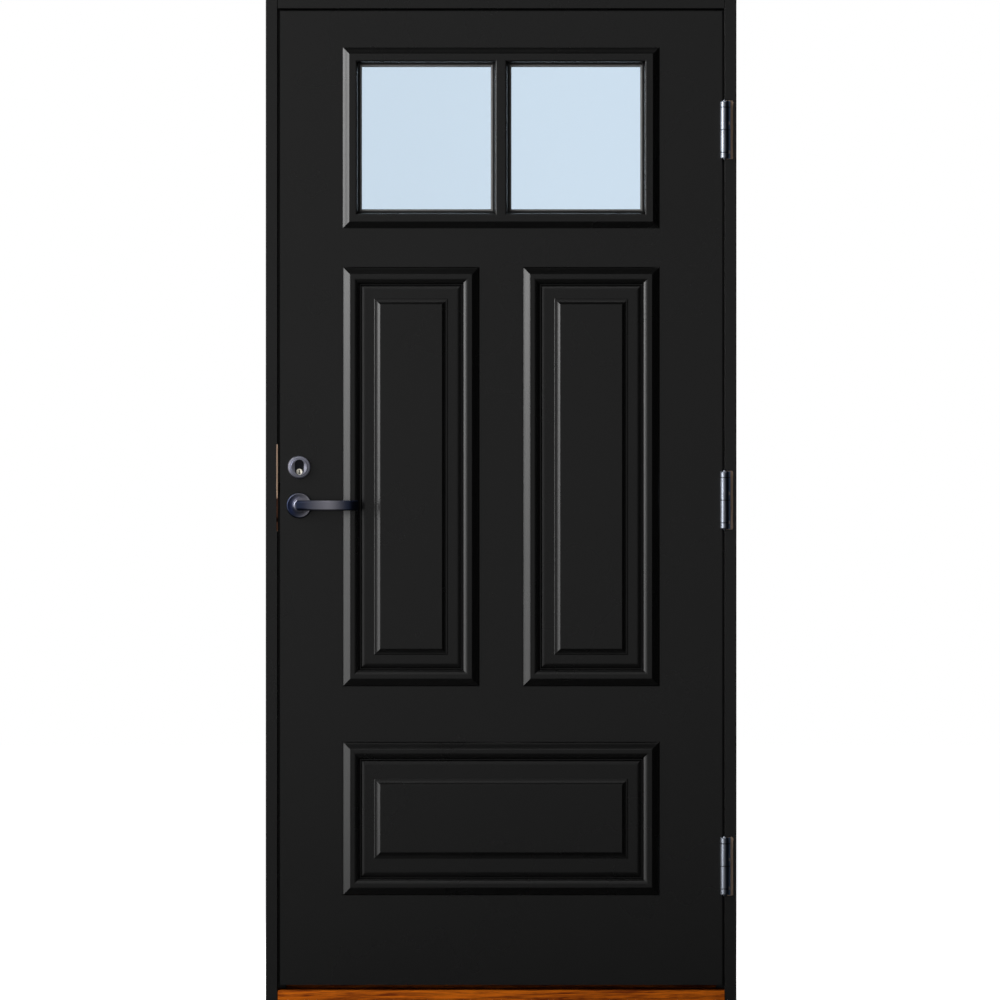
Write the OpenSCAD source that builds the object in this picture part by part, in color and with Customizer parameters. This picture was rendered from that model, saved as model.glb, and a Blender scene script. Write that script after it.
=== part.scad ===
// Panelled front door in its frame. An insulated leaf with two lights above and three raised panels below
// opens outwards on three barrel hinges, in a rebated timber frame with a hardwood threshold.
// Millimetres. X runs along the wall, -Y is outdoors and +Z is up. The origin is the middle of the frame's
// underside.

/* [Frame] */
// Width over the jambs
frame_w = 980; // [880:5:1180]
// Height over the head
frame_h = 2090; // [1990:5:2290]
// Depth through the wall
frame_d = 105; // [98:1:150]
// Face of the jambs and the head beside the leaf
frame_face = 25; // [24:1:40]
// How far the stop stands in behind the leaf
stop_step = 17; // [15:1:30]
// Height of the threshold in front of its stop
sill_h = 25; // [20:1:40]
// Fall of the threshold towards outdoors
sill_fall = 3; // [0.5:0.5:6]
// Eased edge of the frame timbers
frame_ease = 1.5; // [0.5:0.1:2.5]
// Width of the bulb of the rubber seal
seal_w = 8; // [6:0.5:9]
// Width of the groove for the foot of the seal
seal_groove_w = 3; // [2:0.5:4]
// Depth of that groove
seal_groove_d = 6; // [4:0.5:9]

/* [Leaf] */
// Thickness of the leaf
leaf_t = 62; // [58:1:70]
// Gap beside the leaf
side_gap = 5; // [4:0.5:6]
// Gap above the leaf
top_gap = 5; // [3:0.5:7]
// Gap under the leaf
bottom_gap = 8; // [5:0.5:12]
// Gap between the leaf and the stop, which the seal fills
seal_gap = 4; // [3:0.5:8]
// Thickness of the face sheets
skin_t = 6; // [4:0.5:7]

/* [Layout of the leaf] */
// Face of the stiles beside the panels
stile_face = 130; // [115:1:160]
// Face between the tall panels
muntin_face = 90; // [60:1:120]
// Face above the window
top_face = 75; // [60:1:110]
// Height of the window over its frame
window_h = 377; // [300:1:420]
// Face between the window and the tall panels
upper_face = 80.5; // [60:0.5:110]
// Face between the tall panels and the lower panel
middle_face = 115.5; // [80:0.5:150]
// Height of the lower panel over its moulding
lower_h = 319.5; // [260:0.5:380]
// Face below the lower panel
bottom_face = 186.5; // [150:0.5:220]

/* [Mouldings] */
// How far mouldings and window frames stand out of the leaf
moulding_rise = 9; // [5:0.5:14]
// Square edge of a moulding on the leaf
moulding_lip = 1; // [0.5:0.1:2]
// Width of the outer slope
moulding_slope = 16; // [12:0.5:22]
// Width of the flat top
moulding_flat = 9; // [6:0.5:14]
// Width of the inner slope
moulding_roll = 11; // [8:0.5:14]
// How far a moulding lies over the edge of the opening
moulding_seat = 20; // [14:0.5:25]

/* [Raised panels] */
// Depth of the edge of a panel below the face of the leaf
panel_set = 8; // [6:0.5:12]
// Depth of the sunk flat below the face of the leaf
sunk_set = 4; // [2:0.5:5]
// Depth of the raised field below the face of the leaf
field_set = -0.5; // [-2:0.5:1]
// Groove left open beside a moulding
quirk_w = 2; // [1:0.5:4]
// Width of the hollow between that groove and the sunk flat
hollow_w = 8; // [5:0.5:12]
// Width of the sunk flat
sunk_w = 20; // [12:0.5:30]
// Width of the sunk flat above and below the field of the lower panel
lower_sunk_w = 31; // [20:0.5:40]
// Width of the slope up to the field
field_slope = 12; // [8:0.5:18]

/* [Window] */
// Width of the outer slope of a window frame
window_slope = 14; // [10:0.5:20]
// Width of its flat
window_flat = 13; // [8:0.5:18]
// Width of its inner slope
window_roll = 7.5; // [5:0.5:10]
// Width of the seal's lip beside the glass
bead_w = 5.5; // [4:0.5:9]
// Flat of the glazing bar
bar_flat = 17; // [12:0.5:30]
// Depth of the glass below the face of the leaf
glass_set = 14; // [11:0.5:18]
// Thickness of a pane
pane_t = 4; // [3:0.5:6]
// Space between the panes
pane_gap = 16; // [10:0.5:20]
// Thickness of a glazing seal
glazing_seal_t = 2; // [1.5:0.1:3]

/* [Lock] */
// Height of the handle above the underside of the frame
handle_z = 1031; // [950:1:1100]
// Distance of the handle from the edge of the leaf
backset = 40; // [35:1:50]
// Height of the key plug above the handle
plug_rise = 70; // [66:1:80]
// Travel of the latch bolt
latch_throw = 12; // [10:0.5:12]
// Travel of the dead bolt
bolt_throw = 20; // [16:0.5:20]

/* [Furniture] */
// Diameter of the rosettes behind the levers
rosette_d = 53.5; // [50:0.5:60]
// Thickness of a rosette
rosette_t = 9; // [7:0.5:12]
// Height of the lever's bar
lever_h = 21; // [16:0.5:24]
// Thickness of the lever's bar
lever_t = 12; // [10:0.5:14]
// Diameter of the lever's neck
neck_d = 24; // [22:0.5:26]
// Side of the square spindle
spindle_w = 8; // [7:0.5:9]
// Diameter of the ring round the cylinder
ring_d = 48; // [44:0.5:54]
// Height of that ring
ring_t = 14; // [10:0.5:18]
// Width of the oval cylinder
oval_w = 19; // [18:0.5:21]
// Height of the oval cylinder
oval_h = 32; // [30:0.5:34]
// Diameter of the key plug
plug_d = 13; // [12:0.5:14]

/* [Hinges] */
// Distance of the outer hinges from the ends of the leaf
hinge_inset = 247; // [180:1:300]
// Diameter of the barrel
barrel_d = 17.5; // [15:0.5:18]
// Distance of its axis in front of the leaf
axis_out = 9.5; // [9.5:0.5:12]
// How far the middle hinge sits below the middle
middle_drop = 4.5; // [0:0.5:20]
// Length of the barrel with its caps
barrel_l = 120; // [100:1:140]
// Length of a cap
cap_l = 13; // [9:0.5:18]
// Diameter of the pin
pin_d = 10; // [8:0.5:11]
// Thickness of the hinge plates
plate_t = 2.5; // [2:0.1:3]
// Depth of the hinge plates beside the leaf
plate_w = 34; // [28:1:40]
// Width of the frame plate on the front of the jamb
front_plate_w = 12.5; // [11:0.5:14]
// Width of the recess in the front of the jamb
recess_w = 18; // [16:0.5:20]
// Depth of that recess
recess_d = 4; // [3.5:0.1:6]

/* [Fixings] */
// Diameter of the holes for the screws into the wall
fixing_d = 14; // [10:0.5:16]
// Height of the lowest of those holes
fixing_low = 210; // [150:5:260]
// Distance between the lower two and between the upper two
fixing_step = 560; // [400:5:600]
// Diameter of the countersunk screws
screw_d = 4.5; // [4:0.1:5]
// Length of the countersunk screws
screw_l = 22; // [18:1:23]

/* [Clearances] */
// Radial clearance of what turns
running = 0.05; // [0.02:0.01:0.08]
// Clearance of what slides or is let in
fit = 0.3; // [0.2:0.05:0.4]

/* [Hidden] */
$fn = 48;

// Colours
paint = "#232322";
zinc = "#c9ccd4";
satin = "#5b5d68";
brass = "#c8b486";
oak = "#7a4a28";
rubber = "#141414";
steel = "#9a9ca3";
tan_zinc = "#b98a62";

// Planes of the frame and the leaf
eps = 0.01;
front = -frame_d / 2;
back = frame_d / 2;
leaf_back = front + leaf_t;
leaf_mid = (front + leaf_back) / 2;
stop_y = leaf_back + seal_gap;
jamb_x = frame_w / 2 - frame_face;
stop_x = jamb_x - stop_step;
leaf_x = jamb_x - side_gap;
sill_stop_h = sill_h + stop_step + bottom_gap - side_gap;
head_z = frame_h - frame_face;
leaf_low = sill_h + bottom_gap;
leaf_top = head_z - top_gap;

// Rectangles of the window frame and the mouldings: centre x, centre z, width, height
group_w = 2 * (leaf_x - stile_face);
tall_w = (group_w - muntin_face) / 2;
window_low = leaf_top - top_face - window_h;
tall_top = window_low - upper_face;
lower_top = leaf_low + bottom_face + lower_h;
tall_low = lower_top + middle_face;
window_rect = [0, window_low + window_h / 2, group_w, window_h];
left_rect = [-(muntin_face + tall_w) / 2, (tall_low + tall_top) / 2, tall_w, tall_top - tall_low];
right_rect = [-left_rect[0], left_rect[1], tall_w, left_rect[3]];
lower_rect = [0, lower_top - lower_h / 2, group_w, lower_h];
rects = [window_rect, left_rect, right_rect, lower_rect];

// Moulding and panel sections
moulding_w = moulding_slope + moulding_flat + moulding_roll;
window_face = window_slope + window_flat + window_roll;
window_side = window_face + bead_w;
window_rim = 2 * (window_slope + window_flat);
light_w = (group_w - window_rim - bar_flat) / 2;
light_h = window_h - window_rim;
bar_w = bar_flat + 2 * (window_roll + bead_w);
bead_set = 4;
lip_set = 5;
lip_fall = 3;
lip_flat = 1.5;
opening_drop = 2;
opening_break = [0.34, 0.68];
ogee_ease = 0.25;
field_step = 0.8;
pane_edge = 6;
curve_steps = 5;
unit_back = glass_set + 2 * pane_t + pane_gap;

// Hinges
hinge_x = jamb_x;
hinge_y = front - axis_out;
plate_l = barrel_l;
knuckle_gap = 0.4;
knuckle_l = barrel_l / 2 - cap_l;
hinge_low = leaf_low + hinge_inset;
hinge_high = leaf_top - hinge_inset;
hinge_zs = [hinge_high, (hinge_low + hinge_high) / 2 - middle_drop, hinge_low];
hinge_screw_zs = [-40, 0, 40];
front_screw_zs = [-46, 14];
front_screw_x = 8;
side_screw_y = 22;

// Countersunk screws
head_d = 2 * screw_d - 1;
head_l = (head_d - screw_d) / 2;

// Lock
lock_x = backset - leaf_x;
plug_z = handle_z + plug_rise;
ring_z = plug_z + (oval_h - oval_w) / 2 + (oval_w - plug_d) / 2;
forend_t = 3;
forend_w = 22;
forend_under = 85;
forend_over = 80;
forend_low = handle_z - forend_under;
forend_l = plug_rise + forend_under + forend_over;
case_t = 16;
hub_t = case_t - 0.2;
case_wall = 2;
case_x = forend_t - leaf_x;
case_behind = 25;
case_w = backset + case_behind;
case_under = 50;
case_over = 45;
case_low = handle_z - case_under;
case_h = plug_rise + case_under + case_over;
end_screw = 12;
forend_screw_zs = [forend_low + end_screw, forend_low + forend_l - end_screw];
handle_bore_r = neck_d / 2 - 3;
turn_neck_r = 8;
cylinder_face = 5;
spindle_reach = 16;
handle_hub_r = 10;
arm_r = 18.5;
arm_w = 6;
latch_over = 37;
latch_z = handle_z + latch_over;
latch_h = 18;
latch_t = 11;
latch_l = 24;
bolt_h = 24;
bolt_over = 13;
bolt_z = plug_z + bolt_over;
bolt_short = 14;
bolt_l = backset - bolt_short;
bolt_hub_r = 9;
bolt_shaft_r = 6;
crank_r = bolt_throw / 2 / sin(45);
crank_pin_r = 2.5;
crank_slack = 0.7;
tail_t = 5;
bar_tail = [6, 2.5];

// Strike plate and its pockets
strike_t = 3;
strike_w = 26;
strike_under = 53;
strike_over = 57;
strike_low = handle_z - strike_under;
strike_l = plug_rise + strike_under + strike_over;
lip_over = 14;
lip_low = handle_z + lip_over;
strike_screw_zs = [strike_low + end_screw, strike_low + strike_l - end_screw];
bolt_room = 2;

// Rectangle of the seal, just inside the edge of the leaf
seal_inset = (stop_step - side_gap - seal_w) / 2;
seal_low = leaf_low + seal_inset;
seal_top = leaf_top - (stop_step - top_gap - seal_w) / 2;
seal_rect = [0, (seal_low + seal_top) / 2, 2 * (leaf_x - seal_inset), seal_top - seal_low];

// Timber inside the leaf
inner_x = group_w / 2 - moulding_seat;

// Screws at the corners of the frame
corner_d = 6;
corner_l = 70;
corner_head_d = 12;
corner_head_l = 4;
corner_front = 22;
corner_back = 16;
corner_ys = [front + corner_front, back - corner_back];
corner_zs = [sill_h / 2, frame_h - frame_face / 2];

// Mitre of the lever's bar, and its bends from there to the tip: radius, turn and steps
mitre_turn = 84;
bow = [486, 12, 6];
tip = [40, 28, 5];
bends = [bow, tip];
stem_l = 26;
bar_r = 5;
tip_round = 2;

// Fixing holes
fixing_y = (stop_y + back) / 2;
fixing_zs = [
    fixing_low, fixing_low + fixing_step,
    frame_h - fixing_low - fixing_step, frame_h - fixing_low
];

// Points of a slope from the first point to the second, easing a little at both ends
function ogee(a, b) = [
    for (i = [0:curve_steps])
        let (t = i / curve_steps, eased = t + ogee_ease * ((1 - cos(180 * t)) / 2 - t))
        [a[0] + (b[0] - a[0]) * eased, a[1] + (b[1] - a[1]) * t]
];

// Points of a quarter ellipse that leaves the first point flat and meets the second upright
function roll(a, b) = [
    for (i = [0:curve_steps])
        let (t = 90 * i / curve_steps)
        [b[0] + (a[0] - b[0]) * cos(t), a[1] + (b[1] - a[1]) * sin(t)]
];

// Points of a hollow that leaves the first point flat and steepens towards the second
function hollow(a, b) = [
    for (i = [0:curve_steps])
        let (t = i / curve_steps)
        [a[0] + (b[0] - a[0]) * pow(t, 2), a[1] + (b[1] - a[1]) * t]
];

// The same points in the other order
function turned(points) = [for (i = [len(points) - 1:-1:0]) points[i]];

// An outline across a span, from the chain of points of its first half, which starts at the front and ends at
// the back: x is the depth below the face of the leaf, y the distance in from the edge of the span
function spanned(span, half) = concat(
    [for (p = half) [p[0], p[1] - span / 2]],
    [for (p = turned(half)) [p[0], span / 2 - p[1]]]
);

// The body of a moulding: down its outer slope and back over its seat into the opening of the leaf
function body_half(slope, depth) = concat(
    turned(ogee([-moulding_lip, 0], [-moulding_rise, slope])),
    [[0, 0], [0, moulding_seat + fit], [depth, moulding_seat + fit]]
);

// The opening in a panel moulding, from the edge of its flat down a slope that steepens to the panel
function opening_half() = [
    [-moulding_rise - 1, 0], [-moulding_rise, 0],
    [-moulding_rise * opening_break[0], moulding_roll * opening_break[1]],
    [panel_set - opening_drop, moulding_roll], [panel_set + 1, moulding_roll]
];

// The opening in a window frame, over its inner slope and down to a depth
function light_half(depth) = concat(
    [[-moulding_rise - 1, 0]],
    roll([-moulding_rise, 0], [bead_set, window_roll]),
    [[depth + 1, window_roll]]
);

// The lip of a glazing seal, which fills that opening from a depth forward
function lip_half(depth) = [[lip_set, window_roll], [depth + eps, window_roll]];

// The opening in a glazing seal, over the slope of its lip down past a depth
function seal_half(depth) = [
    [lip_set - 1, window_roll + lip_flat], [lip_set, window_roll + lip_flat],
    [lip_set + lip_fall, window_roll + bead_w], [depth + 1, window_roll + bead_w]
];

// One face of a panel from its edge in the leaf to its field, past a sunk flat of the given width
function panel_face(flat) =
    let (edge = moulding_w + quirk_w, sunk = edge + hollow_w, slope = sunk + flat)
    concat(
        [[panel_set, moulding_seat + fit]],
        hollow([panel_set, edge], [sunk_set, sunk]),
        [[sunk_set, slope], [sunk_set - field_step, slope + field_step]],
        hollow([sunk_set - field_step - 0.1, slope + field_step + 1], [field_set, slope + field_slope])
    );

// Both faces of a panel, from the outer field round its edge to the inner field
function panel_half(flat) =
    let (face = panel_face(flat))
    concat(turned(face), [for (p = face) [leaf_t - p[0], p[1]]]);

// Carries its children to a rectangle on the outer face of the leaf
module on_face(rect) {
    translate([rect[0], front, rect[1]])
        children();
}

// Carries its children to both lights of the window on the outer face of the leaf
module at_lights() {
    on_face(window_rect)
        for (s = [-1, 1])
            translate([s * (light_w + bar_flat) / 2, 0, 0])
                children();
}

// Turns its children over to the inner face of the leaf
module indoors() {
    translate([0, front + leaf_back, 0])
        mirror([0, 1, 0])
            children();
}

// Extrudes an outline of depth and height along X
module along_x(length) {
    rotate([90, 0, 90])
        linear_extrude(length, center = true)
            children();
}

// Two outlines that cross, one over the width and one over the height, so that slopes meet in mitres
module crossed(w, h, half_w, half_h) {
    intersection() {
        along_x(w)
            polygon(spanned(h, half_h));
        rotate([0, 90, 0])
            along_x(h)
                polygon(spanned(w, half_w));
    }
}

// A rectangle of thickness t with corner y at depth
module slab(rect, inset, depth, t) {
    translate([rect[0] - rect[2] / 2 + inset, front + depth, rect[1] - rect[3] / 2 + inset])
        cube([rect[2] - 2 * inset, t, rect[3] - 2 * inset]);
}

// A rod along Y from one depth to another
module rod_y(x, z, r, y0, y1) {
    translate([x, y1, z])
        rotate([90, 0, 0])
            cylinder(r = r, h = y1 - y0);
}

// A flat oval with round ends, upright
module oval(w, h) {
    for (s = [-1, 1])
        translate([0, s * (h - w) / 2])
            circle(d = w);
    square([w, h - w], center = true);
}

// An upright oval prism along Y
module oval_rod(x, z, w, h, y0, y1) {
    translate([x, y1, z])
        rotate([90, 0, 0])
            linear_extrude(y1 - y0)
                oval(w, h);
}

// A countersunk screw with its head at the origin, pointing along -Z, with play all round
module screw(play = 0) {
    rotate_extrude()
        polygon([
            [0, play], [head_d / 2 + play, play], [head_d / 2 + play, -0.3],
            [screw_d / 2 + play, -0.3 - head_l], [screw_d / 2 + play, -screw_l - play], [0, -screw_l - play]
        ]);
}

// Places of the screws in the frame: hinge plates and strike plate
module at_frame_screws() {
    for (z = hinge_zs) {
        for (dz = hinge_screw_zs)
            translate([jamb_x, front + side_screw_y, z + dz])
                rotate([0, -90, 0])
                    children();
        for (dz = front_screw_zs)
            translate([jamb_x + front_screw_x, front + recess_d - plate_t, z + dz])
                rotate([90, 0, 0])
                    children();
    }
    for (z = strike_screw_zs)
        translate([-jamb_x, leaf_mid, z])
            rotate([0, 90, 0])
                children();
}

// Places of the screws in the leaf: hinge plates and forend
module at_leaf_screws() {
    for (z = hinge_zs)
        for (dz = hinge_screw_zs)
            translate([leaf_x, front + side_screw_y, z + dz])
                rotate([0, 90, 0])
                    children();
    for (z = forend_screw_zs)
        translate([-leaf_x, leaf_mid, z])
            rotate([0, -90, 0])
                children();
}

// Section of the frame timbers: x is the distance in from the outer edge, y runs through the wall
module frame_section() {
    e = frame_ease;
    deep = frame_face + stop_step;
    polygon([
        [0, front + e], [e, front], [frame_face - e, front], [frame_face, front + e], [frame_face, stop_y],
        [deep - e, stop_y], [deep, stop_y + e], [deep, back - e], [deep - e, back], [e, back], [0, back - e]
    ]);
}

// A square-edged strip round the seal's rectangle, half as wide to each side of the seal's middle
module seal_strip(half, depth, t) {
    difference() {
        slab(seal_rect, seal_w / 2 - half, depth, t);
        slab(seal_rect, seal_w / 2 + half, depth - 1, t + 2);
    }
}

// Groove in the stop for the foot of the seal
module seal_groove() {
    seal_strip(seal_groove_w / 2, stop_y - front - 1, seal_groove_d + 1);
}

// One jamb on the hinge side, bare of cuts
module jamb_blank() {
    linear_extrude(frame_h)
        translate([frame_w / 2, 0])
            mirror([1, 0])
                frame_section();
}

// Holes through a jamb for the screws into the wall
module fixing_holes(side) {
    for (z = fixing_zs)
        translate([side * frame_w / 2, fixing_y, z])
            rotate([0, 90, 0])
                cylinder(d = fixing_d, h = 4 * frame_face, center = true);
}

// Screws through the jambs into the ends of the head and the threshold
module at_corner_screws() {
    for (s = [-1, 1])
        for (y = corner_ys)
            for (z = corner_zs)
                translate([s * frame_w / 2, y, z])
                    rotate([0, -90 * s, 0])
                        children();
}

// One corner screw, head outermost, pointing along +Z
module corner_screw(play = 0) {
    translate([0, 0, -play])
        cylinder(d = corner_head_d + 2 * play, h = corner_head_l + play);
    translate([0, 0, corner_head_l - eps])
        cylinder(d = corner_d + 2 * play, h = corner_l - corner_head_l + play);
}

// Pocket behind the strike plate for a bolt of the given height, middle and travel
module bolt_pocket(z, h, travel) {
    depth = travel - side_gap + bolt_room;
    translate([-jamb_x - depth, leaf_mid - latch_t / 2 - bolt_room, z - h / 2 - bolt_room])
        cube([depth + 1, latch_t + 2 * bolt_room, h + 2 * bolt_room]);
}

// The strike plate grown by a clearance: plate in the rebate and lip to the front of the jamb
module strike_blank(play) {
    translate([-jamb_x - strike_t - play, leaf_mid - strike_w / 2 - play, strike_low - play])
        cube([strike_t + play, strike_w + 2 * play, strike_l + 2 * play]);
    translate([-jamb_x - strike_t - play, front, lip_low - play])
        cube([strike_t + play, leaf_mid - front, strike_low + strike_l - lip_low + 2 * play]);
}

module lock_jamb() {
    color(paint)
        difference() {
            mirror([1, 0, 0])
                jamb_blank();
            seal_groove();
            fixing_holes(-1);
            strike_blank(fit / 3);
            // routed front edge, open below the lip of the strike plate
            translate([-jamb_x - strike_t, front - 1, strike_low])
                cube([strike_t + 1, leaf_mid - front, strike_l]);
            bolt_pocket(latch_z, latch_h, latch_throw);
            bolt_pocket(bolt_z, bolt_h, bolt_throw);
            at_frame_screws()
                screw(running);
            at_corner_screws()
                corner_screw(running);
        }
}

module hinge_jamb() {
    color(paint)
        difference() {
            jamb_blank();
            seal_groove();
            fixing_holes(1);
            for (z = hinge_zs)
                translate([jamb_x, 0, z])
                    hinge_recess();
            at_frame_screws()
                screw(running);
            at_corner_screws()
                corner_screw(running);
        }
}

// Recess in the jamb for the angled plate of a hinge, with routed round corners at the front
module hinge_recess() {
    h = plate_l + 6;
    r = 6;
    translate([0, front + recess_d, 0])
        rotate([90, 0, 0])
            linear_extrude(recess_d + 1) {
                translate([(recess_w - r) / 2 - 1, 0])
                    square([recess_w - r + 2, h], center = true);
                translate([recess_w / 2, 0])
                    square([recess_w, h - 2 * r], center = true);
                for (s = [-1, 1])
                    translate([recess_w - r, s * (h / 2 - r)])
                        circle(r);
            }
    translate([-1, front - 1, -plate_l / 2 - fit])
        cube([plate_t + 1 + fit / 3, plate_w + 1 + fit, plate_l + 2 * fit]);
}

module frame_head() {
    color(paint)
        difference() {
            translate([0, 0, frame_h])
                along_x(2 * jamb_x)
                    rotate(-90)
                        frame_section();
            for (s = [-1, 1])
                translate([s * (stop_x + stop_step), (stop_y + back) / 2 + eps, frame_h])
                    cube([2 * stop_step, back - stop_y + 2 * eps, 4 * frame_face], center = true);
            seal_groove();
            at_corner_screws()
                corner_screw(running);
        }
}

module threshold() {
    e = frame_ease;
    color(oak)
        difference() {
            union() {
                along_x(2 * jamb_x)
                    polygon([
                        [front, e], [front + e, 0], [stop_y, 0], [stop_y, sill_h],
                        [front + 4, sill_h - sill_fall], [front + 1, sill_h - sill_fall - 1],
                        [front, sill_h - sill_fall - 4]
                    ]);
                along_x(2 * stop_x)
                    polygon([
                        [stop_y - eps, 0], [back - e, 0], [back, e], [back, sill_stop_h - 8],
                        [back - 3, sill_stop_h - 2], [back - 10, sill_stop_h],
                        [stop_y + e, sill_stop_h], [stop_y, sill_stop_h - e], [stop_y, sill_h],
                        [stop_y - eps, sill_h]
                    ]);
            }
            seal_groove();
            at_corner_screws()
                corner_screw(running);
        }
}

module frame_seal() {
    bulb = seal_gap - fit;
    mid = seal_w / 2;
    outer_half = [for (a = [90:-30:0]) [-bulb * sin(a), mid - mid * cos(a)]];
    inner_half = concat(
        [[-bulb - 1, mid]],
        [for (a = [90:30:180]) [-bulb * sin(a), mid - mid * cos(a)]],
        [[1, seal_w]]
    );
    color(rubber) {
        translate([0, stop_y, seal_rect[1]])
            difference() {
                crossed(seal_rect[2], seal_rect[3], outer_half, outer_half);
                crossed(seal_rect[2], seal_rect[3], inner_half, inner_half);
            }
        seal_strip(seal_groove_w / 2 - running, stop_y - front - eps, seal_groove_d - fit);
    }
}

module strike_plate() {
    color(tan_zinc)
        difference() {
            strike_blank(0);
            for (b = [[latch_z, latch_h], [bolt_z, bolt_h]])
                translate([-jamb_x - strike_t - 1, leaf_mid - latch_t / 2 - 1, b[0] - b[1] / 2 - 1])
                    cube([strike_t + 2, latch_t + 2, b[1] + 2]);
            at_frame_screws()
                screw(running);
        }
}

// Frame side of a hinge: angled plate in the jamb, and the lower knuckle
module hinge_frame_leaf(z) {
    color(zinc)
        difference() {
            translate([0, 0, z]) {
                difference() {
                    union() {
                        translate([jamb_x, front + recess_d - plate_t, -plate_l / 2])
                            cube([plate_t, plate_w - recess_d + plate_t, plate_l]);
                        translate([jamb_x, front + recess_d - plate_t, -plate_l / 2])
                            cube([front_plate_w, plate_t, plate_l]);
                        translate([jamb_x, hinge_y, -knuckle_l])
                            cube([plate_t, front + recess_d - hinge_y, knuckle_l - knuckle_gap / 2]);
                        translate([hinge_x, hinge_y, -knuckle_l])
                            cylinder(d = barrel_d, h = knuckle_l - knuckle_gap / 2);
                    }
                    translate([hinge_x, hinge_y, -barrel_l])
                        cylinder(d = pin_d + 2 * running, h = 2 * barrel_l);
                }
            }
            at_frame_screws()
                screw(running);
        }
}

// Leaf side of a hinge: plate let into the edge of the leaf, and the upper knuckle
module hinge_door_leaf(z) {
    color(zinc)
        difference() {
            translate([0, 0, z]) {
                difference() {
                    union() {
                        translate([leaf_x - plate_t, front, -plate_l / 2])
                            cube([plate_t, plate_w, plate_l]);
                        translate([leaf_x - plate_t, hinge_y, knuckle_gap / 2])
                            cube([plate_t, front - hinge_y + eps, knuckle_l - knuckle_gap / 2]);
                        translate([hinge_x, hinge_y, knuckle_gap / 2])
                            cylinder(d = barrel_d, h = knuckle_l - knuckle_gap / 2);
                    }
                    translate([hinge_x, hinge_y, -barrel_l])
                        cylinder(d = pin_d + 2 * running, h = 2 * barrel_l);
                }
            }
            at_leaf_screws()
                screw(running);
        }
}

// Pin of a hinge, from the bottom cap to just under the top cap
module hinge_pin(z) {
    color(steel)
        translate([hinge_x, hinge_y, z - knuckle_l])
            cylinder(d = pin_d, h = 2 * knuckle_l - 1);
}

// End cap with a small round tip, from the end of the knuckle along +Z
module hinge_cap() {
    r = barrel_d / 2;
    tip_r = 3;
    rotate_extrude() {
        polygon([[0, 0], [r - 0.6, 0], [r, 0.6], [r, cap_l - 2], [r - 2, cap_l], [0, cap_l]]);
        intersection() {
            translate([0, cap_l])
                circle(tip_r);
            translate([0, cap_l - tip_r])
                square(2 * tip_r);
        }
    }
}

module hinge_top_caps() {
    color(zinc)
        for (z = hinge_zs)
            translate([hinge_x, hinge_y, z + knuckle_l])
                hinge_cap();
}

module hinge_bottom_caps() {
    color(zinc)
        for (z = hinge_zs)
            translate([hinge_x, hinge_y, z - knuckle_l])
                mirror([0, 0, 1])
                    hinge_cap();
}

module frame_screws() {
    color(steel)
        at_frame_screws()
            screw();
}

module corner_screws() {
    color(steel)
        at_corner_screws()
            corner_screw();
}

module leaf_screws() {
    color(steel)
        at_leaf_screws()
            screw();
}

// Recesses in the edges of the leaf for the hinge plates
module hinge_notches() {
    for (z = hinge_zs)
        translate([leaf_x - plate_t, front - 1, z - plate_l / 2 - fit])
            cube([plate_t + 1, plate_w + 1 + fit, plate_l + 2 * fit]);
}

// A face sheet with the openings for the window and the panels, from a depth below the outer face
module skin(depth) {
    difference() {
        translate([-leaf_x, front + depth, leaf_low])
            cube([2 * leaf_x, skin_t, leaf_top - leaf_low]);
        for (r = rects)
            slab(r, moulding_seat, depth - 1, skin_t + 2);
        hinge_notches();
        rod_y(lock_x, handle_z, handle_bore_r, front - 1, leaf_back + 1);
    }
}

module outer_skin() {
    color(paint)
        difference() {
            skin(0);
            oval_rod(lock_x, ring_z, oval_w + 2 * fit, oval_h + 2 * fit, front - 1, leaf_mid);
        }
}

module inner_skin() {
    color(paint)
        difference() {
            skin(leaf_t - skin_t);
            rod_y(lock_x, plug_z, turn_neck_r + fit, leaf_mid, leaf_back + 1);
        }
}

// A block of the timber inside the leaf, between the face sheets
module timber(x0, x1, z0, z1) {
    color("#b98d5c")
        translate([x0, front + skin_t, z0])
            cube([x1 - x0, leaf_t - 2 * skin_t, z1 - z0]);
}

// Room for the lock case, its forend and what passes through the leaf at the lock
module lock_room() {
    translate([case_x - 1, leaf_mid - case_t / 2 - fit, case_low - fit])
        cube([case_w + 1 + fit, case_t + 2 * fit, case_h + 2 * fit]);
    translate([-leaf_x - 1, leaf_mid - forend_w / 2 - fit / 3, forend_low - fit / 3])
        cube([forend_t + 1, forend_w + 2 * fit / 3, forend_l + 2 * fit / 3]);
    rod_y(lock_x, handle_z, handle_bore_r, front - 1, leaf_back + 1);
    oval_rod(lock_x, ring_z, oval_w + 2 * fit, oval_h + 2 * fit, front - 1, leaf_mid);
    rod_y(lock_x, plug_z, turn_neck_r + fit, leaf_mid, leaf_back + 1);
}

module lock_stile() {
    difference() {
        timber(-leaf_x, -inner_x, leaf_low, leaf_top);
        color(paint)
            lock_room();
        at_leaf_screws()
            screw(running);
    }
}

module hinge_stile() {
    difference() {
        timber(inner_x, leaf_x, leaf_low, leaf_top);
        hinge_notches();
        at_leaf_screws()
            screw(running);
    }
}

module top_rail() {
    timber(-inner_x, inner_x, window_low + window_h - moulding_seat, leaf_top);
}

module window_rail() {
    timber(-inner_x, inner_x, tall_top - moulding_seat, window_low + moulding_seat);
}

module middle_rail() {
    timber(-inner_x, inner_x, lower_top - moulding_seat, tall_low + moulding_seat);
}

module bottom_rail() {
    timber(-inner_x, inner_x, leaf_low, lower_top - lower_h + moulding_seat);
}

module centre_muntin() {
    half = muntin_face / 2 + moulding_seat;
    timber(-half, half, tall_low + moulding_seat, tall_top - moulding_seat);
}

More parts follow.
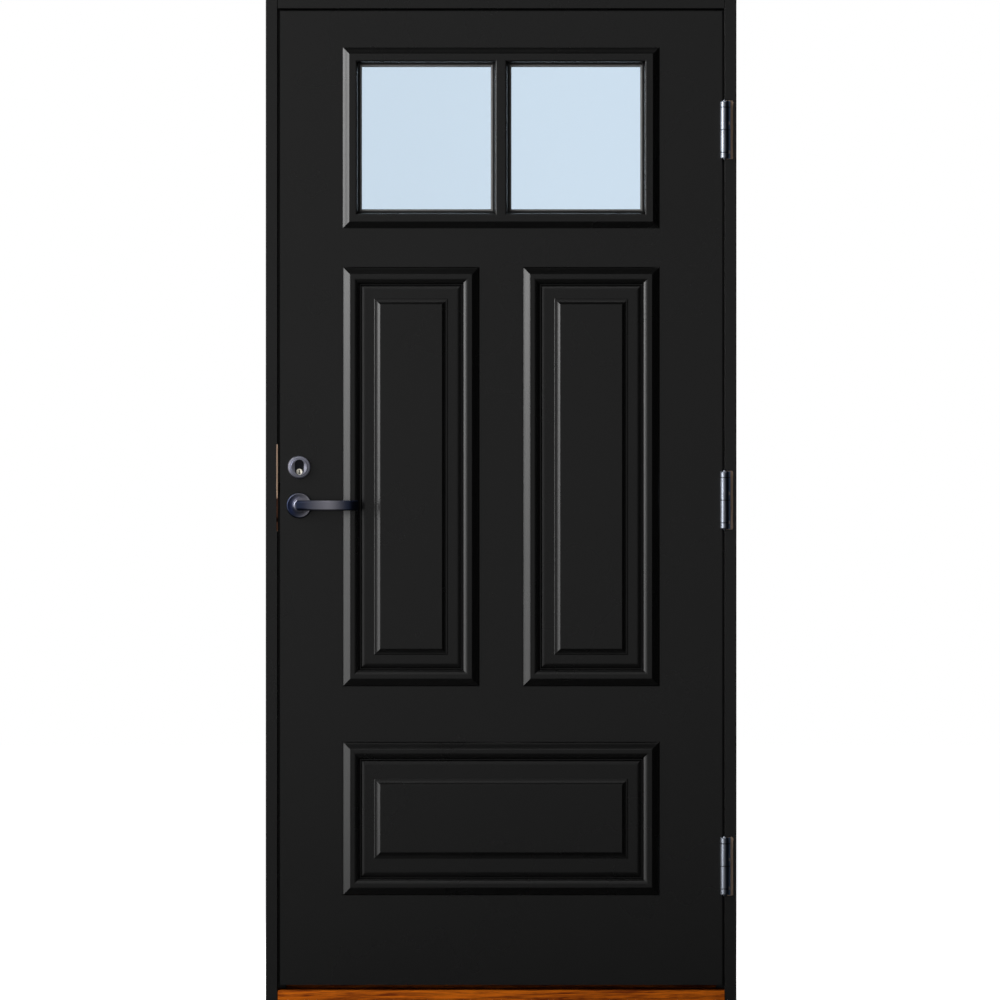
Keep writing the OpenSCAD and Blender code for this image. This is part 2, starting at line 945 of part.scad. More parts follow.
// Raised and fielded board, alike on both faces
module raised_panel(rect, flat_side, flat_end) {
    color(paint)
        on_face(rect)
            crossed(rect[2], rect[3], panel_half(flat_side), panel_half(flat_end));
}

module left_panel() {
    raised_panel(left_rect, sunk_w, sunk_w);
}

module right_panel() {
    raised_panel(right_rect, sunk_w, sunk_w);
}

module lower_panel() {
    raised_panel(lower_rect, sunk_w, lower_sunk_w);
}

// Moulding round a panel: a raised body with an opening, mitred at its corners
module moulding(rect) {
    body = body_half(moulding_slope, panel_set);
    rim = 2 * (moulding_slope + moulding_flat);
    color(paint)
        on_face(rect)
            difference() {
                crossed(rect[2], rect[3], body, body);
                crossed(rect[2] - rim, rect[3] - rim, opening_half(), opening_half());
            }
}

module outer_left_moulding() {
    moulding(left_rect);
}

module outer_right_moulding() {
    moulding(right_rect);
}

module outer_lower_moulding() {
    moulding(lower_rect);
}

module inner_left_moulding() {
    indoors()
        moulding(left_rect);
}

module inner_right_moulding() {
    indoors()
        moulding(right_rect);
}

module inner_lower_moulding() {
    indoors()
        moulding(lower_rect);
}

// Window frame with its glazing bar between two openings; its inner legs reach a seal at the given depth
module window_frame(depth) {
    body = body_half(window_slope, depth);
    light = light_half(depth);
    color(paint)
        difference() {
            on_face(window_rect)
                crossed(window_rect[2], window_h, body, body);
            at_lights()
                crossed(light_w, light_h, light, light);
        }
}

module outer_window_frame() {
    window_frame(glass_set - glazing_seal_t);
}

module inner_window_frame() {
    indoors()
        window_frame(leaf_t - unit_back - glazing_seal_t);
}

module pane(depth) {
    color([0.8, 0.87, 0.93, 0.5])
        slab(window_rect, moulding_seat + pane_edge, depth, pane_t);
}

module outer_pane() {
    pane(glass_set);
}

module inner_pane() {
    pane(unit_back - pane_t);
}

// Spacer of the glass unit, hidden behind the window frame and the bar
module glass_spacer() {
    edge = moulding_seat + pane_edge + 4;
    side = window_side - edge - 2;
    color(steel)
        translate([0, pane_t, 0]) {
            difference() {
                slab(window_rect, edge, glass_set, pane_gap);
                slab(window_rect, edge + side, glass_set - 1, pane_gap + 2);
            }
            translate([-bar_w / 2 + 4, front + glass_set, window_low + window_side - 3])
                cube([bar_w - 8, pane_gap, window_h - 2 * window_side + 6]);
        }
}

// Seal between a window frame and the glass, with a lip that shows round each light
module glazing_seal(depth) {
    lip = lip_half(depth);
    light = seal_half(depth + glazing_seal_t);
    difference() {
        union() {
            slab(window_rect, moulding_seat + pane_edge, depth, glazing_seal_t);
            at_lights()
                crossed(light_w, light_h, lip, lip);
        }
        at_lights()
            crossed(light_w, light_h, light, light);
    }
}

module glazing_seals() {
    color(rubber) {
        glazing_seal(glass_set - glazing_seal_t);
        indoors()
            glazing_seal(leaf_t - unit_back - glazing_seal_t);
    }
}

module lock_case() {
    cavity_t = case_t - 2 * case_wall;
    color(steel)
        difference() {
            union() {
                translate([-leaf_x, leaf_mid - forend_w / 2, forend_low])
                    cube([forend_t, forend_w, forend_l]);
                translate([case_x - eps, leaf_mid - case_t / 2, case_low])
                    cube([case_w + eps, case_t, case_h]);
            }
            translate([case_x + case_wall, leaf_mid - cavity_t / 2, case_low + case_wall])
                cube([case_w - 2 * case_wall, cavity_t, case_h - 2 * case_wall]);
            for (b = [[latch_z, latch_h], [bolt_z, bolt_h]])
                translate([-leaf_x - 1, leaf_mid - latch_t / 2 - fit, b[0] - b[1] / 2 - fit])
                    cube([forend_t + case_wall + 2, latch_t + 2 * fit, b[1] + 2 * fit]);
            rod_y(lock_x, handle_z, handle_hub_r + running, front, leaf_back);
            rod_y(lock_x, plug_z, bolt_hub_r + running, front, leaf_mid);
            rod_y(lock_x, plug_z, bolt_shaft_r + running, leaf_mid, leaf_back);
            at_leaf_screws()
                screw(running);
        }
}

// Round rosette with a soft edge, a dished face and a collar round its bore, on the outer face
module rosette(z, d, t, bore_r) {
    soft = 4;
    dish = 2;
    collar_r = bore_r + 2;
    color(satin)
        translate([lock_x, front, z])
            rotate([90, 0, 0])
                difference() {
                    rotate_extrude() {
                        square([d / 2, t - soft]);
                        polygon([
                            [0, 0], [d / 2 - soft, 0], [d / 2 - soft, t],
                            [collar_r + 2, t - dish], [0, t - dish]
                        ]);
                        translate([d / 2 - soft, t - soft])
                            circle(soft);
                        square([collar_r, t + 2]);
                    }
                    translate([0, 0, -1])
                        cylinder(r = bore_r, h = t + 4);
                }
}

module outer_rosette() {
    rosette(handle_z, rosette_d, rosette_t, neck_d / 2 + running);
}

module inner_rosette() {
    indoors()
        rosette(handle_z, rosette_d, rosette_t, neck_d / 2 + running);
}

module turn_rosette() {
    indoors()
        rosette(plug_z, ring_d, rosette_t, turn_neck_r + running);
}

// Ring round the cylinder: a round wall, a slope and a dished face with an oval hole
module cylinder_ring() {
    r = ring_d / 2;
    face_r = oval_h / 2 + 1.2;
    color(satin)
        translate([lock_x, front, ring_z])
            difference() {
                rotate([90, 0, 0])
                    rotate_extrude()
                        polygon([
                            [0, 0], [r, 0], [r, ring_t - 6], [r - 1.5, ring_t - 3.5], [r - 4, ring_t - 3],
                            [face_r + 1, ring_t - 3], [face_r, ring_t], [face_r - 2, ring_t], [0, ring_t - 3]
                        ]);
                oval_rod(0, 0, oval_w + 2 * running, oval_h + 2 * running, -ring_t - 1, 1);
            }
}

module cylinder_body() {
    color("#3a3c44")
        difference() {
            oval_rod(lock_x, ring_z, oval_w, oval_h, front - cylinder_face, leaf_mid - case_t / 2);
            rod_y(lock_x, plug_z, plug_d / 2 + running, front - ring_t, leaf_mid);
        }
}

// Flat tail that turns the bolt follower, along Y
module flat_tail(y0, y1) {
    translate([lock_x, (y0 + y1) / 2, plug_z])
        cube([bar_tail[1], y1 - y0, bar_tail[0]], center = true);
}

module key_plug() {
    slot_w = 2.4;
    slot_r = 2;
    plug_face = front - cylinder_face - 2.5;
    color(brass)
        difference() {
            union() {
                rod_y(lock_x, plug_z, plug_d / 2, plug_face, leaf_mid - case_t / 2 - fit);
                flat_tail(leaf_mid - case_t / 2 - fit - eps, leaf_mid - fit);
            }
            translate([lock_x - slot_w / 2, plug_face - 1, plug_z - 3])
                cube([slot_w, 21, 7.5]);
            rod_y(lock_x, plug_z - 3, slot_r, plug_face - 1, plug_face + 20);
        }
}

// Follower of the dead bolt: two journals, a crank and its pin, with a slot for the tails
module bolt_follower() {
    edge = leaf_mid - case_t / 2 + 0.1;
    color(steel)
        difference() {
            union() {
                rod_y(lock_x, plug_z, bolt_hub_r, edge, leaf_mid);
                rod_y(lock_x, plug_z, bolt_shaft_r, leaf_mid - eps, leaf_mid + case_t / 2 - 0.1);
                translate([lock_x, leaf_mid, plug_z])
                    rotate([0, 45, 0]) {
                        rotate([90, 0, 0])
                            linear_extrude(tail_t) {
                                translate([-4, 0])
                                    square([8, crank_r]);
                                translate([0, crank_r])
                                    circle(4);
                            }
                        translate([0, 0, crank_r])
                            rotate([-90, 0, 0])
                                cylinder(r = crank_pin_r, h = tail_t);
                    }
            }
            translate([lock_x, leaf_mid, plug_z])
                cube([bar_tail[1] + fit, 2 * case_t, bar_tail[0] + fit], center = true);
        }
}

// Knob indoors with a neck and a flat tail into the follower
module thumb_turn() {
    knob = [13, 16, 34];
    knob_y = leaf_back + rosette_t + 3;
    color(satin) {
        rod_y(lock_x, plug_z, turn_neck_r, leaf_mid + case_t / 2 + fit, knob_y + 1);
        oval_rod(lock_x, plug_z, knob[0], knob[2], knob_y, knob_y + knob[1]);
        flat_tail(leaf_mid + fit, leaf_mid + case_t / 2 + fit + eps);
    }
}

// Dead bolt, drawn back: block, and a tail plate slotted for the crank pin
module dead_bolt() {
    tail_low = plug_z + bolt_shaft_r + 0.6;
    pin_x = lock_x + bolt_throw / 2;
    slot = 2 * (crank_pin_r + crank_slack);
    slot_top = plug_z + crank_r + crank_pin_r + crank_slack;
    color(steel)
        difference() {
            union() {
                translate([-leaf_x, leaf_mid - latch_t / 2, bolt_z - bolt_h / 2])
                    cube([bolt_l, latch_t, bolt_h]);
                translate([-leaf_x + bolt_l - eps, leaf_mid + 0.5, tail_low])
                    cube([pin_x + 9 + leaf_x - bolt_l, tail_t, slot_top + 4 - tail_low]);
            }
            translate([pin_x - slot / 2, leaf_mid - 1, tail_low - 1])
                cube([slot, tail_t + 2, slot_top - tail_low + 1]);
        }
}

// Follower of the handle: a hub through the case with an arm that draws the latch back
module handle_follower() {
    color(steel)
        difference() {
            union() {
                rod_y(lock_x, handle_z, handle_hub_r, leaf_mid - hub_t / 2, leaf_mid + hub_t / 2);
                translate([lock_x - arm_w / 2, leaf_mid - latch_t / 2, handle_z])
                    cube([arm_w, latch_t, arm_r]);
            }
            translate([lock_x, leaf_mid, handle_z])
                cube([spindle_w + 2 * running, 2 * case_t, spindle_w + 2 * running], center = true);
        }
}

// Latch bolt, out: bevelled head, body, tail over the follower and the lug that its arm pushes
module latch_bolt() {
    reach = latch_throw;
    lug_x = lock_x + arm_w / 2 + 0.4;
    lug_w = 5;
    tail_h = 10;
    half = latch_t / 2;
    color(steel) {
        translate([0, leaf_mid, latch_z - latch_h / 2])
            linear_extrude(latch_h)
                polygon([
                    [-leaf_x - reach, half], [-leaf_x - reach, half - 3], [-leaf_x, -half],
                    [-leaf_x + latch_l, -half], [-leaf_x + latch_l, half]
                ]);
        translate([-leaf_x + latch_l - eps, leaf_mid - half, latch_z - tail_h / 2])
            cube([lug_x + lug_w + leaf_x - latch_l + eps, latch_t, tail_h]);
        translate([lug_x, leaf_mid - half, handle_z + arm_r - 3])
            cube([lug_w, latch_t, latch_z - handle_z - arm_r + 3]);
    }
}

module spindle() {
    color(steel)
        translate([lock_x, leaf_mid, handle_z])
            cube([spindle_w, leaf_t + 2 * spindle_reach, spindle_w], center = true);
}

// A point on a bend: start, heading and turn so far; heading 0 is straight out, 90 is along the leaf
function on_bend(p, h, r, t) =
    p + r * (1 - cos(t)) * [cos(h), -sin(h)] + r * sin(t) * [sin(h), cos(h)];

// Stations along the bends from number b on: place, heading and stretch of the section
function stations(p, h, b) = b == len(bends) ? [] : concat(
    [
        for (k = [1:bends[b][2]])
            let (t = bends[b][1] * k / bends[b][2])
            [on_bend(p, h, bends[b][0], t), h + t, 1]
    ],
    stations(on_bend(p, h, bends[b][0], bends[b][1]), h + bends[b][1], b + 1)
);

// Points of the bar's section, a rectangle with round corners, drawn in by an inset
function bar_ring(inset) = [
    for (q = [0:3])
        for (i = [0:4])
            let (a = 90 * q + 22.5 * i, x = q % 3 == 0 ? 1 : -1, z = q < 2 ? 1 : -1)
            [
                x * (lever_t / 2 - bar_r) + (bar_r - inset) * cos(a),
                z * (lever_h / 2 - bar_r) + (bar_r - inset) * sin(a)
            ]
];

// The section carried to a station: x along the leaf, y out of the leaf, z up
function placed(ring, station) = [
    for (q = ring)
        [
            station[0][0] + q[0] * station[2] * cos(station[1]),
            station[0][1] - q[0] * station[2] * sin(station[1]),
            q[1]
        ]
];

// Bar of the lever, swept from its root in the neck over its mitre and along the bends to a softened tip
module lever_bar(root) {
    corner = [0, root + stem_l];
    half_turn = mitre_turn / 2;
    path = concat(
        [[[0, root], 0, 1], [corner, half_turn, 1 / cos(half_turn)]],
        stations(corner, mitre_turn, 0)
    );
    last = path[len(path) - 1];
    cap = [last[0] + tip_round * [sin(last[1]), cos(last[1])], last[1], 1];
    rings = concat(
        [for (s = path) placed(bar_ring(0), s)],
        [placed(bar_ring(tip_round), cap)]
    );
    n = len(rings[0]);
    m = len(rings);
    polyhedron(
        points = [for (r = rings) each r],
        faces = concat(
            [[for (i = [n - 1:-1:0]) i]],
            [
                for (k = [0:m - 2])
                    for (i = [0:n - 1])
                        [k * n + i, k * n + (i + 1) % n, (k + 1) * n + (i + 1) % n, (k + 1) * n + i]
            ],
            [[for (i = [0:n - 1]) (m - 1) * n + i]]
        )
    );
}

// Lever on the outer face: round neck, mitre, bowed bar and a tip that returns to the leaf
module lever() {
    neck_l = rosette_t + 8;
    neck_round = 2;
    socket = spindle_w + 2 * running;
    color(satin)
        translate([lock_x, front, handle_z])
            difference() {
                union() {
                    rotate([90, 0, 0])
                        rotate_extrude()
                            polygon([
                                [0, fit], [neck_d / 2, fit], [neck_d / 2, neck_l - neck_round],
                                [neck_d / 2 - neck_round, neck_l], [0, neck_l]
                            ]);
                    mirror([0, 1, 0])
                        lever_bar(neck_l - 1);
                }
                translate([-socket / 2, -spindle_reach - running, -socket / 2])
                    cube([socket, spindle_reach + 1, socket]);
            }
}

module outer_lever() {
    lever();
}

module inner_lever() {
    indoors()
        lever();
}

lock_jamb();
hinge_jamb();
frame_head();
threshold();
frame_seal();
strike_plate();
hinge_frame_leaf(hinge_zs[0]);  // upper_hinge_frame_leaf
hinge_frame_leaf(hinge_zs[1]);  // middle_hinge_frame_leaf
hinge_frame_leaf(hinge_zs[2]);  // lower_hinge_frame_leaf
hinge_pin(hinge_zs[0]);  // upper_hinge_pin
hinge_pin(hinge_zs[1]);  // middle_hinge_pin
hinge_pin(hinge_zs[2]);  // lower_hinge_pin
hinge_bottom_caps();
frame_screws();
corner_screws();
outer_skin();
inner_skin();
lock_stile();
hinge_stile();
top_rail();
window_rail();
middle_rail();
bottom_rail();
centre_muntin();
left_panel();
right_panel();
lower_panel();
outer_left_moulding();
outer_right_moulding();
outer_lower_moulding();
inner_left_moulding();
inner_right_moulding();
inner_lower_moulding();
outer_window_frame();
inner_window_frame();
outer_pane();
inner_pane();
glass_spacer();
glazing_seals();
hinge_door_leaf(hinge_zs[0]);  // upper_hinge_door_leaf
hinge_door_leaf(hinge_zs[1]);  // middle_hinge_door_leaf
hinge_door_leaf(hinge_zs[2]);  // lower_hinge_door_leaf
hinge_top_caps();
leaf_screws();
lock_case();
outer_rosette();
inner_rosette();
cylinder_ring();
cylinder_body();
turn_rosette();
outer_lever();
inner_lever();
spindle();
handle_follower();
latch_bolt();
thumb_turn();
bolt_follower();
dead_bolt();
key_plug();
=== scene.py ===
"""Panelled front door: finishes, fine shapes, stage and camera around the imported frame."""

import math

import bmesh
import bpy
from bpy.props import FloatProperty, FloatVectorProperty, PointerProperty
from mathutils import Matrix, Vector


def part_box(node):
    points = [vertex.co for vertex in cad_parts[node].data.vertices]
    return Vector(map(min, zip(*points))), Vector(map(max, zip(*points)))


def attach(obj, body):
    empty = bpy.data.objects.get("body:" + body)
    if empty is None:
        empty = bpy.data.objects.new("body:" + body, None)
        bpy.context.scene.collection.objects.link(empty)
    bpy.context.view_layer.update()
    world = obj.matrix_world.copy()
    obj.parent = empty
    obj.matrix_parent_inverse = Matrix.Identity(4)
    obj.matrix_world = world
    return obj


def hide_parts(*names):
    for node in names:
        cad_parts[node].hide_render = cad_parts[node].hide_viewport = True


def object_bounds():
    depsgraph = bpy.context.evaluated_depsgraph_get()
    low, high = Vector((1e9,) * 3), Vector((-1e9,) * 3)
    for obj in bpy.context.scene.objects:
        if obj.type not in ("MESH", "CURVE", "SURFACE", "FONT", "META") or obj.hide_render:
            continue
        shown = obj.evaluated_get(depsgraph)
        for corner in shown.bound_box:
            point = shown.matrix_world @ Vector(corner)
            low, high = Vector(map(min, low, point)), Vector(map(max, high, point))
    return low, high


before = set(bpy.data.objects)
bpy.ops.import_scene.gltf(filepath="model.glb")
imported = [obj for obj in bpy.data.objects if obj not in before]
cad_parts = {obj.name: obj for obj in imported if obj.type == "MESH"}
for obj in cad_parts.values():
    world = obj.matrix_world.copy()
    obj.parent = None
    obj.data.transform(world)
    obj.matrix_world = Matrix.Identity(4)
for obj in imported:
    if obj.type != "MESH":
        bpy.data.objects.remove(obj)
CAD_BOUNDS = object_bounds()

bl_info = {
    "name": "Panelled Front Door",
    "version": (1, 0, 0),
    "blender": (4, 5, 0),
    "location": "3D View > Sidebar > Front Door",
    "description": "Dresses a packed front door with finishes, fine mouldings, furniture and a stage",
    "category": "Object",
}

MM = 0.001
PAINT_IOR = 1.65

# Planes of the leaf and the frame, from the solids
LEAF_LOW, LEAF_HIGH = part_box("outer_skin")
FRONT = LEAF_LOW.y
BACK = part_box("inner_skin")[1].y
LEAF_EDGE = LEAF_HIGH.x
JAMB_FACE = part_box("hinge_jamb")[0].y
LOCK_X = sum(corner.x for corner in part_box("spindle")) / 2
HANDLE_Z = sum(corner.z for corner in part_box("spindle")) / 2
HINGES = ("upper", "middle", "lower")
PANELS = ("left", "right", "lower")
SIDES = ("outer", "inner")

# Where the steep outer edge of a moulding breaks, in shares of its depth and its width
EDGE_BREAK = (0.5, 0.45)

# Turns of a lever from its mitre to its tip, and from which angle its mitre shows as an edge
MITRE_TURN = math.radians(84)
BOW_TURN = math.radians(12)
TIP_TURN = math.radians(28)
MITRE_EDGE = math.radians(20)

# Strength and depth of the relief of the finishes
PAINT_RELIEF = (0.06, 0.2 * MM)
WOOD_RELIEF = (0.25, 0.4 * MM)
BRUSH_RELIEF = (0.08, 0.05 * MM)
RUBBER_RELIEF = (0.15, 0.1 * MM)

# Stretch of the grain of bare softwood and of the threshold
TIMBER_GRAIN = (160.0, 160.0, 8.0)
THRESHOLD_GRAIN = (9.0, 150.0, 220.0)
BARE_ROUGHNESS = 0.7

# Where painted light and shade on the metals begin and end: the painted highlight along a lever, from its
# axis, painted shadow across a seam of a hinge, painted shade to the right of its pin, painted shade on the
# strike plate above the handle, and a dark band above the foot of that plate
LEVER_RISE = (-2 * MM, 72 * MM)
LEVER_FALL = (104 * MM, 56 * MM)
HINGE_SEAM = (1.2 * MM, 0.5 * MM)
HINGE_SHADE = (1 * MM, 5 * MM)
STRIKE_SHADE = (10 * MM, 22 * MM)
DARK_BAND_START = (17 * MM, 20 * MM)
DARK_BAND_END = (31 * MM, 25 * MM)


# Settings


def length(name, description, default):
    """A length in metres, from a default in millimetres."""
    return FloatProperty(name=name, description=description, default=default * MM, min=0.0, unit="LENGTH")


def pair(name, description, default):
    """Two lengths in metres, from defaults in millimetres."""
    lengths = [value * MM for value in default]
    return FloatVectorProperty(
        name=name, description=description, default=lengths, min=0.0, size=2, unit="LENGTH"
    )


def share(name, description, default):
    """A value from 0 to 1."""
    return FloatProperty(
        name=name, description=description, default=default, min=0.0, max=1.0, subtype="FACTOR"
    )


def power(name, description, default):
    """The power of a lamp in watts."""
    return FloatProperty(name=name, description=description, default=default, min=0.0, unit="POWER")


def colour(name, description, default):
    """A linear colour."""
    return FloatVectorProperty(
        name=name, description=description, default=default, min=0.0, max=1.0, size=3, subtype="COLOR"
    )


class FrontDoorFinish(bpy.types.PropertyGroup):
    """Colours and gloss of the door"""

    paint: colour("Paint", "Satin paint of the leaf and the frame", (0.0032, 0.0032, 0.0031))
    paint_roughness: share("Paint roughness", "Roughness of the satin paint", 0.28)
    stain: colour("Stain", "Light streaks of the stained threshold", (0.72, 0.165, 0.004))
    stain_dark: colour("Dark stain", "Dark streaks of the stained threshold", (0.13, 0.014, 0.001))
    timber: colour("Timber", "Bare softwood where it is cut", (0.62, 0.46, 0.35))
    timber_dark: colour("Late wood", "Darker rings of the bare softwood", (0.40, 0.27, 0.18))
    satin: colour("Satin metal", "Cylinder ring, knob and necks of the levers", (0.52, 0.53, 0.64))
    # Painted light in the next three colours: painted shade at the ends of the levers and on the shaded side
    # of the rosettes, a painted highlight along the middle of the levers, and a painted highlight on the lit
    # side of the rosettes
    satin_shade: colour(
        "Dark satin metal", "Ends of the levers and shaded side of the rosettes", (0.055, 0.070, 0.130)
    )
    satin_highlight: colour("Light satin metal", "Middle of the levers", (0.62, 0.61, 0.70))
    rosette_highlight: colour("Light rosette", "Lit side of the rosettes", (0.66, 0.65, 0.72))
    zinc: colour("Hinge zinc", "Bright zinc of the hinges", (0.46, 0.50, 0.58))
    # Painted shade on the side of the hinge barrels towards the jamb
    zinc_shade: colour("Zinc shade", "Side of the hinges towards the jamb", (0.13, 0.20, 0.33))
    steel: colour("Lock steel", "Case, bolts, pins and screws", (0.45, 0.45, 0.47))
    strike: colour("Strike plate", "Warm zinc of the strike plate", (0.80, 0.56, 0.40))
    # Painted shade on the lower part of the strike plate
    strike_painted_shade: colour("Strike plate shade", "Lower part of the strike plate", (0.42, 0.20, 0.13))
    # A dark band near the foot of the strike plate
    strike_dark_band: colour("Strike dark band", "Dark band near the foot of the strike plate", (0.05, 0.02, 0.01))
    cylinder: colour("Cylinder", "Dark metal of the oval cylinder", (0.035, 0.036, 0.045))
    brass: colour("Key plug", "Pale brass of the key plug", (1.0, 0.95, 0.80))
    # Painted shade inside the keyway
    keyway: colour("Keyway", "Dark of the keyway", (0.004, 0.004, 0.004))
    spacer: colour("Glass spacer", "Matt metal between the panes", (0.42, 0.43, 0.44))
    rubber: colour("Rubber", "Seal in the stop of the frame", (0.008, 0.008, 0.008))
    gasket: colour("Gasket", "Grey gasket round the glass", (0.16, 0.156, 0.152))
    glass: colour("Glass", "Tint of one pane", (0.775, 0.852, 0.919))


class FrontDoorShape(bpy.types.PropertyGroup):
    """Widths of the mouldings, the panels and the furniture"""

    edge: length("Edge", "Rounding of the edges of the threshold", 1.2)
    seat: length("Seat", "How far a moulding lies on the leaf", 20.3)
    soft: length("Soft edge", "Rounding of the outer slope of a moulding", 0.7)
    land: length("Land", "Short stretch of a flat beside a rounding", 2)
    ease: length("Moulding edge", "Steep outer edge of a panel moulding", 2.2)
    window_ease: length("Window edge", "Steep outer edge of a window frame", 0.9)
    slope: length("Slope", "Outer slope of a panel moulding", 16)
    flat: length("Flat", "Top flat of a panel moulding", 9)
    roll: length("Roll", "Inner slope of a panel moulding", 11)
    roll_ease: pair("Gentle inner slope", "Depth and width of its gentle part", (0.9, 4.0))
    roll_fall: pair("Steep inner slope", "Depth and width where it drops", (3.6, 8.6))
    roll_soft: length("Soft inner slope", "Rounding of the inner slope of a panel moulding", 1.2)
    window_slope: length("Window slope", "Outer slope of a window frame", 14)
    window_flat: length("Window flat", "Top flat of a window frame", 13)
    window_roll: length("Window roll", "Inner slope of a window frame", 5.5)
    window_soft: length("Soft window slope", "Rounding of the inner slope of a window frame", 0.8)
    window_ledge: length("Window ledge", "Flat that the inner slope of a window frame starts with", 0.5)
    bead: length("Bead", "Gasket beside the glass", 7.5)
    bead_deep: length("Bead depth", "Depth where the window frame meets its gasket", 4)
    bead_gap: length("Bead gap", "Gap of the gasket to the window frame", 0.2)
    glass_gap: length("Glass gap", "Gap of the gasket to the glass", 0.1)
    lip_heel: length("Gasket heel", "Depth of the gasket beside the window frame", 5.4)
    lip_crown: pair("Gasket crown", "Depth of its crown and how far it lies in", (4.9, 1.4))
    lip_fall: pair("Gasket fall", "Depth where it falls and how far that lies before its foot", (5.8, 1.6))
    lip_foot: pair("Gasket foot", "Depth above its foot and how far that lies before its foot", (8.0, 0.2))
    lip_soft: length("Soft gasket", "Rounding of the gasket", 0.9)
    bar: length("Bar", "Top flat of the glazing bar", 17)
    quirk: length("Quirk", "Groove beside a moulding", 2)
    hollow: length("Hollow", "Round edge from that groove to the sunk flat", 11)
    pillow: length("Pillow", "Height of that round edge", 2.0)
    sunk: length("Sunk flat", "Sunk flat round a raised field", 17)
    lower_sunk: length("Lower sunk flat", "Sunk flat above and below the lower field", 28)
    sunk_deep: length("Sunk depth", "Depth of the sunk flat below the face of the leaf", 4)
    field_step: length("Field step", "Step at the foot of the slope to a raised field", 0.8)
    field_rise: length("Field rise", "Rise of the narrow flat above that step", 0.1)
    field_ledge: length("Field ledge", "Width of that flat", 1)
    field_slope: length("Field slope", "Slope up to a raised field", 12)
    field_land: length("Field land", "Edge of a raised field", 4)
    panel_soft: length("Soft panel", "Rounding of the edges of a panel", 0.6)
    neck: length("Neck", "Radius of the neck of a lever", 12)
    neck_reach: length("Neck reach", "How far the neck stands out of the leaf", 17)
    neck_gap: length("Neck gap", "Gap of the neck to the leaf", 0.3)
    neck_soft: length("Soft neck", "Rounding of the neck", 2.5)
    sink: length("Sink", "How far the bar goes into its neck", 1)
    bar_height: length("Bar height", "Height of the bar of a lever", 21)
    bar_thick: length("Bar thickness", "Thickness of the bar of a lever", 12)
    bar_corner: length("Bar corner", "Corner radius of the bar of a lever", 3)
    stem: length("Stem", "How far the mitre of a lever stands out of its neck", 25)
    bow: length("Bow", "Slow bend of the bar of a lever", 486)
    tip: length("Tip", "Bend of the tip of a lever towards the leaf", 40)
    tip_soft: length("Soft tip", "Rounding of the tip of a lever", 2)
    rim: length("Rim", "Soft rim of a rosette", 3)
    dish: length("Dish", "Hollow of the face of a rosette", 2.8)
    collar: length("Collar", "Width and height of the collar of a rosette", 2)
    collar_foot: length("Collar foot", "Flat of a rosette beside its collar", 1)
    collar_soft: length("Soft collar", "Rounding of the collar of a rosette", 0.7)
    turn_neck: length("Knob neck", "Radius of the neck of the knob indoors", 8)
    running: length("Play", "Play of what turns", 0.05)


class FrontDoorStage(bpy.types.PropertyGroup):
    """Camera, lamps and background"""

    lens: FloatProperty(name="Lens", description="Focal length in millimetres", default=500.0, min=1.0)
    picture: length("Picture", "Width of the picture at the front of the frame", 2081.8)
    picture_x: FloatProperty(
        name="Picture middle", description="Place of the picture's middle along the wall", default=-0.0023,
        unit="LENGTH",
    )
    picture_z: length("Picture height", "Height of the picture's middle", 1042.4)
    key: power("Key", "Power of the side lamps", 117.0)
    low_key: power("Low key", "Power of the low side lamps", 14.0)
    fill: power("Fill", "Power of the front lamps", 12.0)
    side: power("Side", "Power of the cards between key and front lamps", 13.0)
    brow: power("Brow", "Power of the strips above the front lamps", 8.0)
    top: power("Top", "Power of the lamps overhead", 5.0)
    room: share("Room", "Level of the dim room around the lamps", 0.012)
    floor: colour("Floor", "Pale floor", (0.75, 0.75, 0.75))


# Small helpers for meshes


def link(name, bm, material, body, *replaced, slot=None):
    """Makes an object from a bmesh, with its finish, on a body, in place of the solids that it replaces."""
    mesh = bpy.data.meshes.new(name)
    bmesh.ops.recalc_face_normals(bm, faces=bm.faces)
    bm.to_mesh(mesh)
    bm.free()
    mesh.materials.append(material)
    piece = bpy.data.objects.new(name, mesh)
    bpy.context.scene.collection.objects.link(piece)
    smooth_faces(piece)
    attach(piece, body)
    if replaced:
        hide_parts(*replaced)
    return piece


def smooth_faces(piece):
    """Rounds the shading across small faces and keeps large faces flat."""
    piece.data.shade_smooth()
    weighted = piece.modifiers.new("even_shading", "WEIGHTED_NORMAL")
    weighted.keep_sharp = True


def soften_edges(piece, width, segments=2):
    """Rounds the edges of a solid that keeps its own mesh."""
    weld = piece.modifiers.new("joined_faces", "WELD")
    weld.merge_threshold = 0.01 * MM
    bevel = piece.modifiers.new("round_edges", "BEVEL")
    bevel.width = width
    bevel.segments = segments
    bevel.limit_method = "ANGLE"
    bevel.angle_limit = math.radians(35)


def dress(material, *nodes):
    """Gives solids their finish."""
    for node in nodes:
        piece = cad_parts[node]
        piece.data.materials.clear()
        piece.data.materials.append(material)


def rounded(points, radius, steps=3):
    """A chain of points whose sharp corners become short curves."""
    result = [points[0]]
    for before, here, after in zip(points, points[1:], points[2:]):
        a, b, c = (Vector(p) for p in (before, here, after))
        back, on = a - b, c - b
        if back.length < 1e-7 or on.length < 1e-7 or back.angle(on) > math.radians(160):
            result.append(tuple(b))
            continue
        reach_back = min(radius, back.length * 0.45)
        reach_on = min(radius, on.length * 0.45)
        start, end = b + back.normalized() * reach_back, b + on.normalized() * reach_on
        for i in range(steps + 1):
            t = i / steps
            result.append(tuple(start.lerp(b, t).lerp(b.lerp(end, t), t)))
    result.append(points[-1])
    return result


def ogee(start, end, steps=14, swing=0.25):
    """A slope between two points of depth and inset, with a slight S."""
    chain = []
    for i in range(steps + 1):
        t = i / steps
        eased = (1 - swing) * t + swing * (1 - math.cos(math.pi * t)) / 2
        chain.append((start[0] + (end[0] - start[0]) * eased, start[1] + (end[1] - start[1]) * t))
    return chain


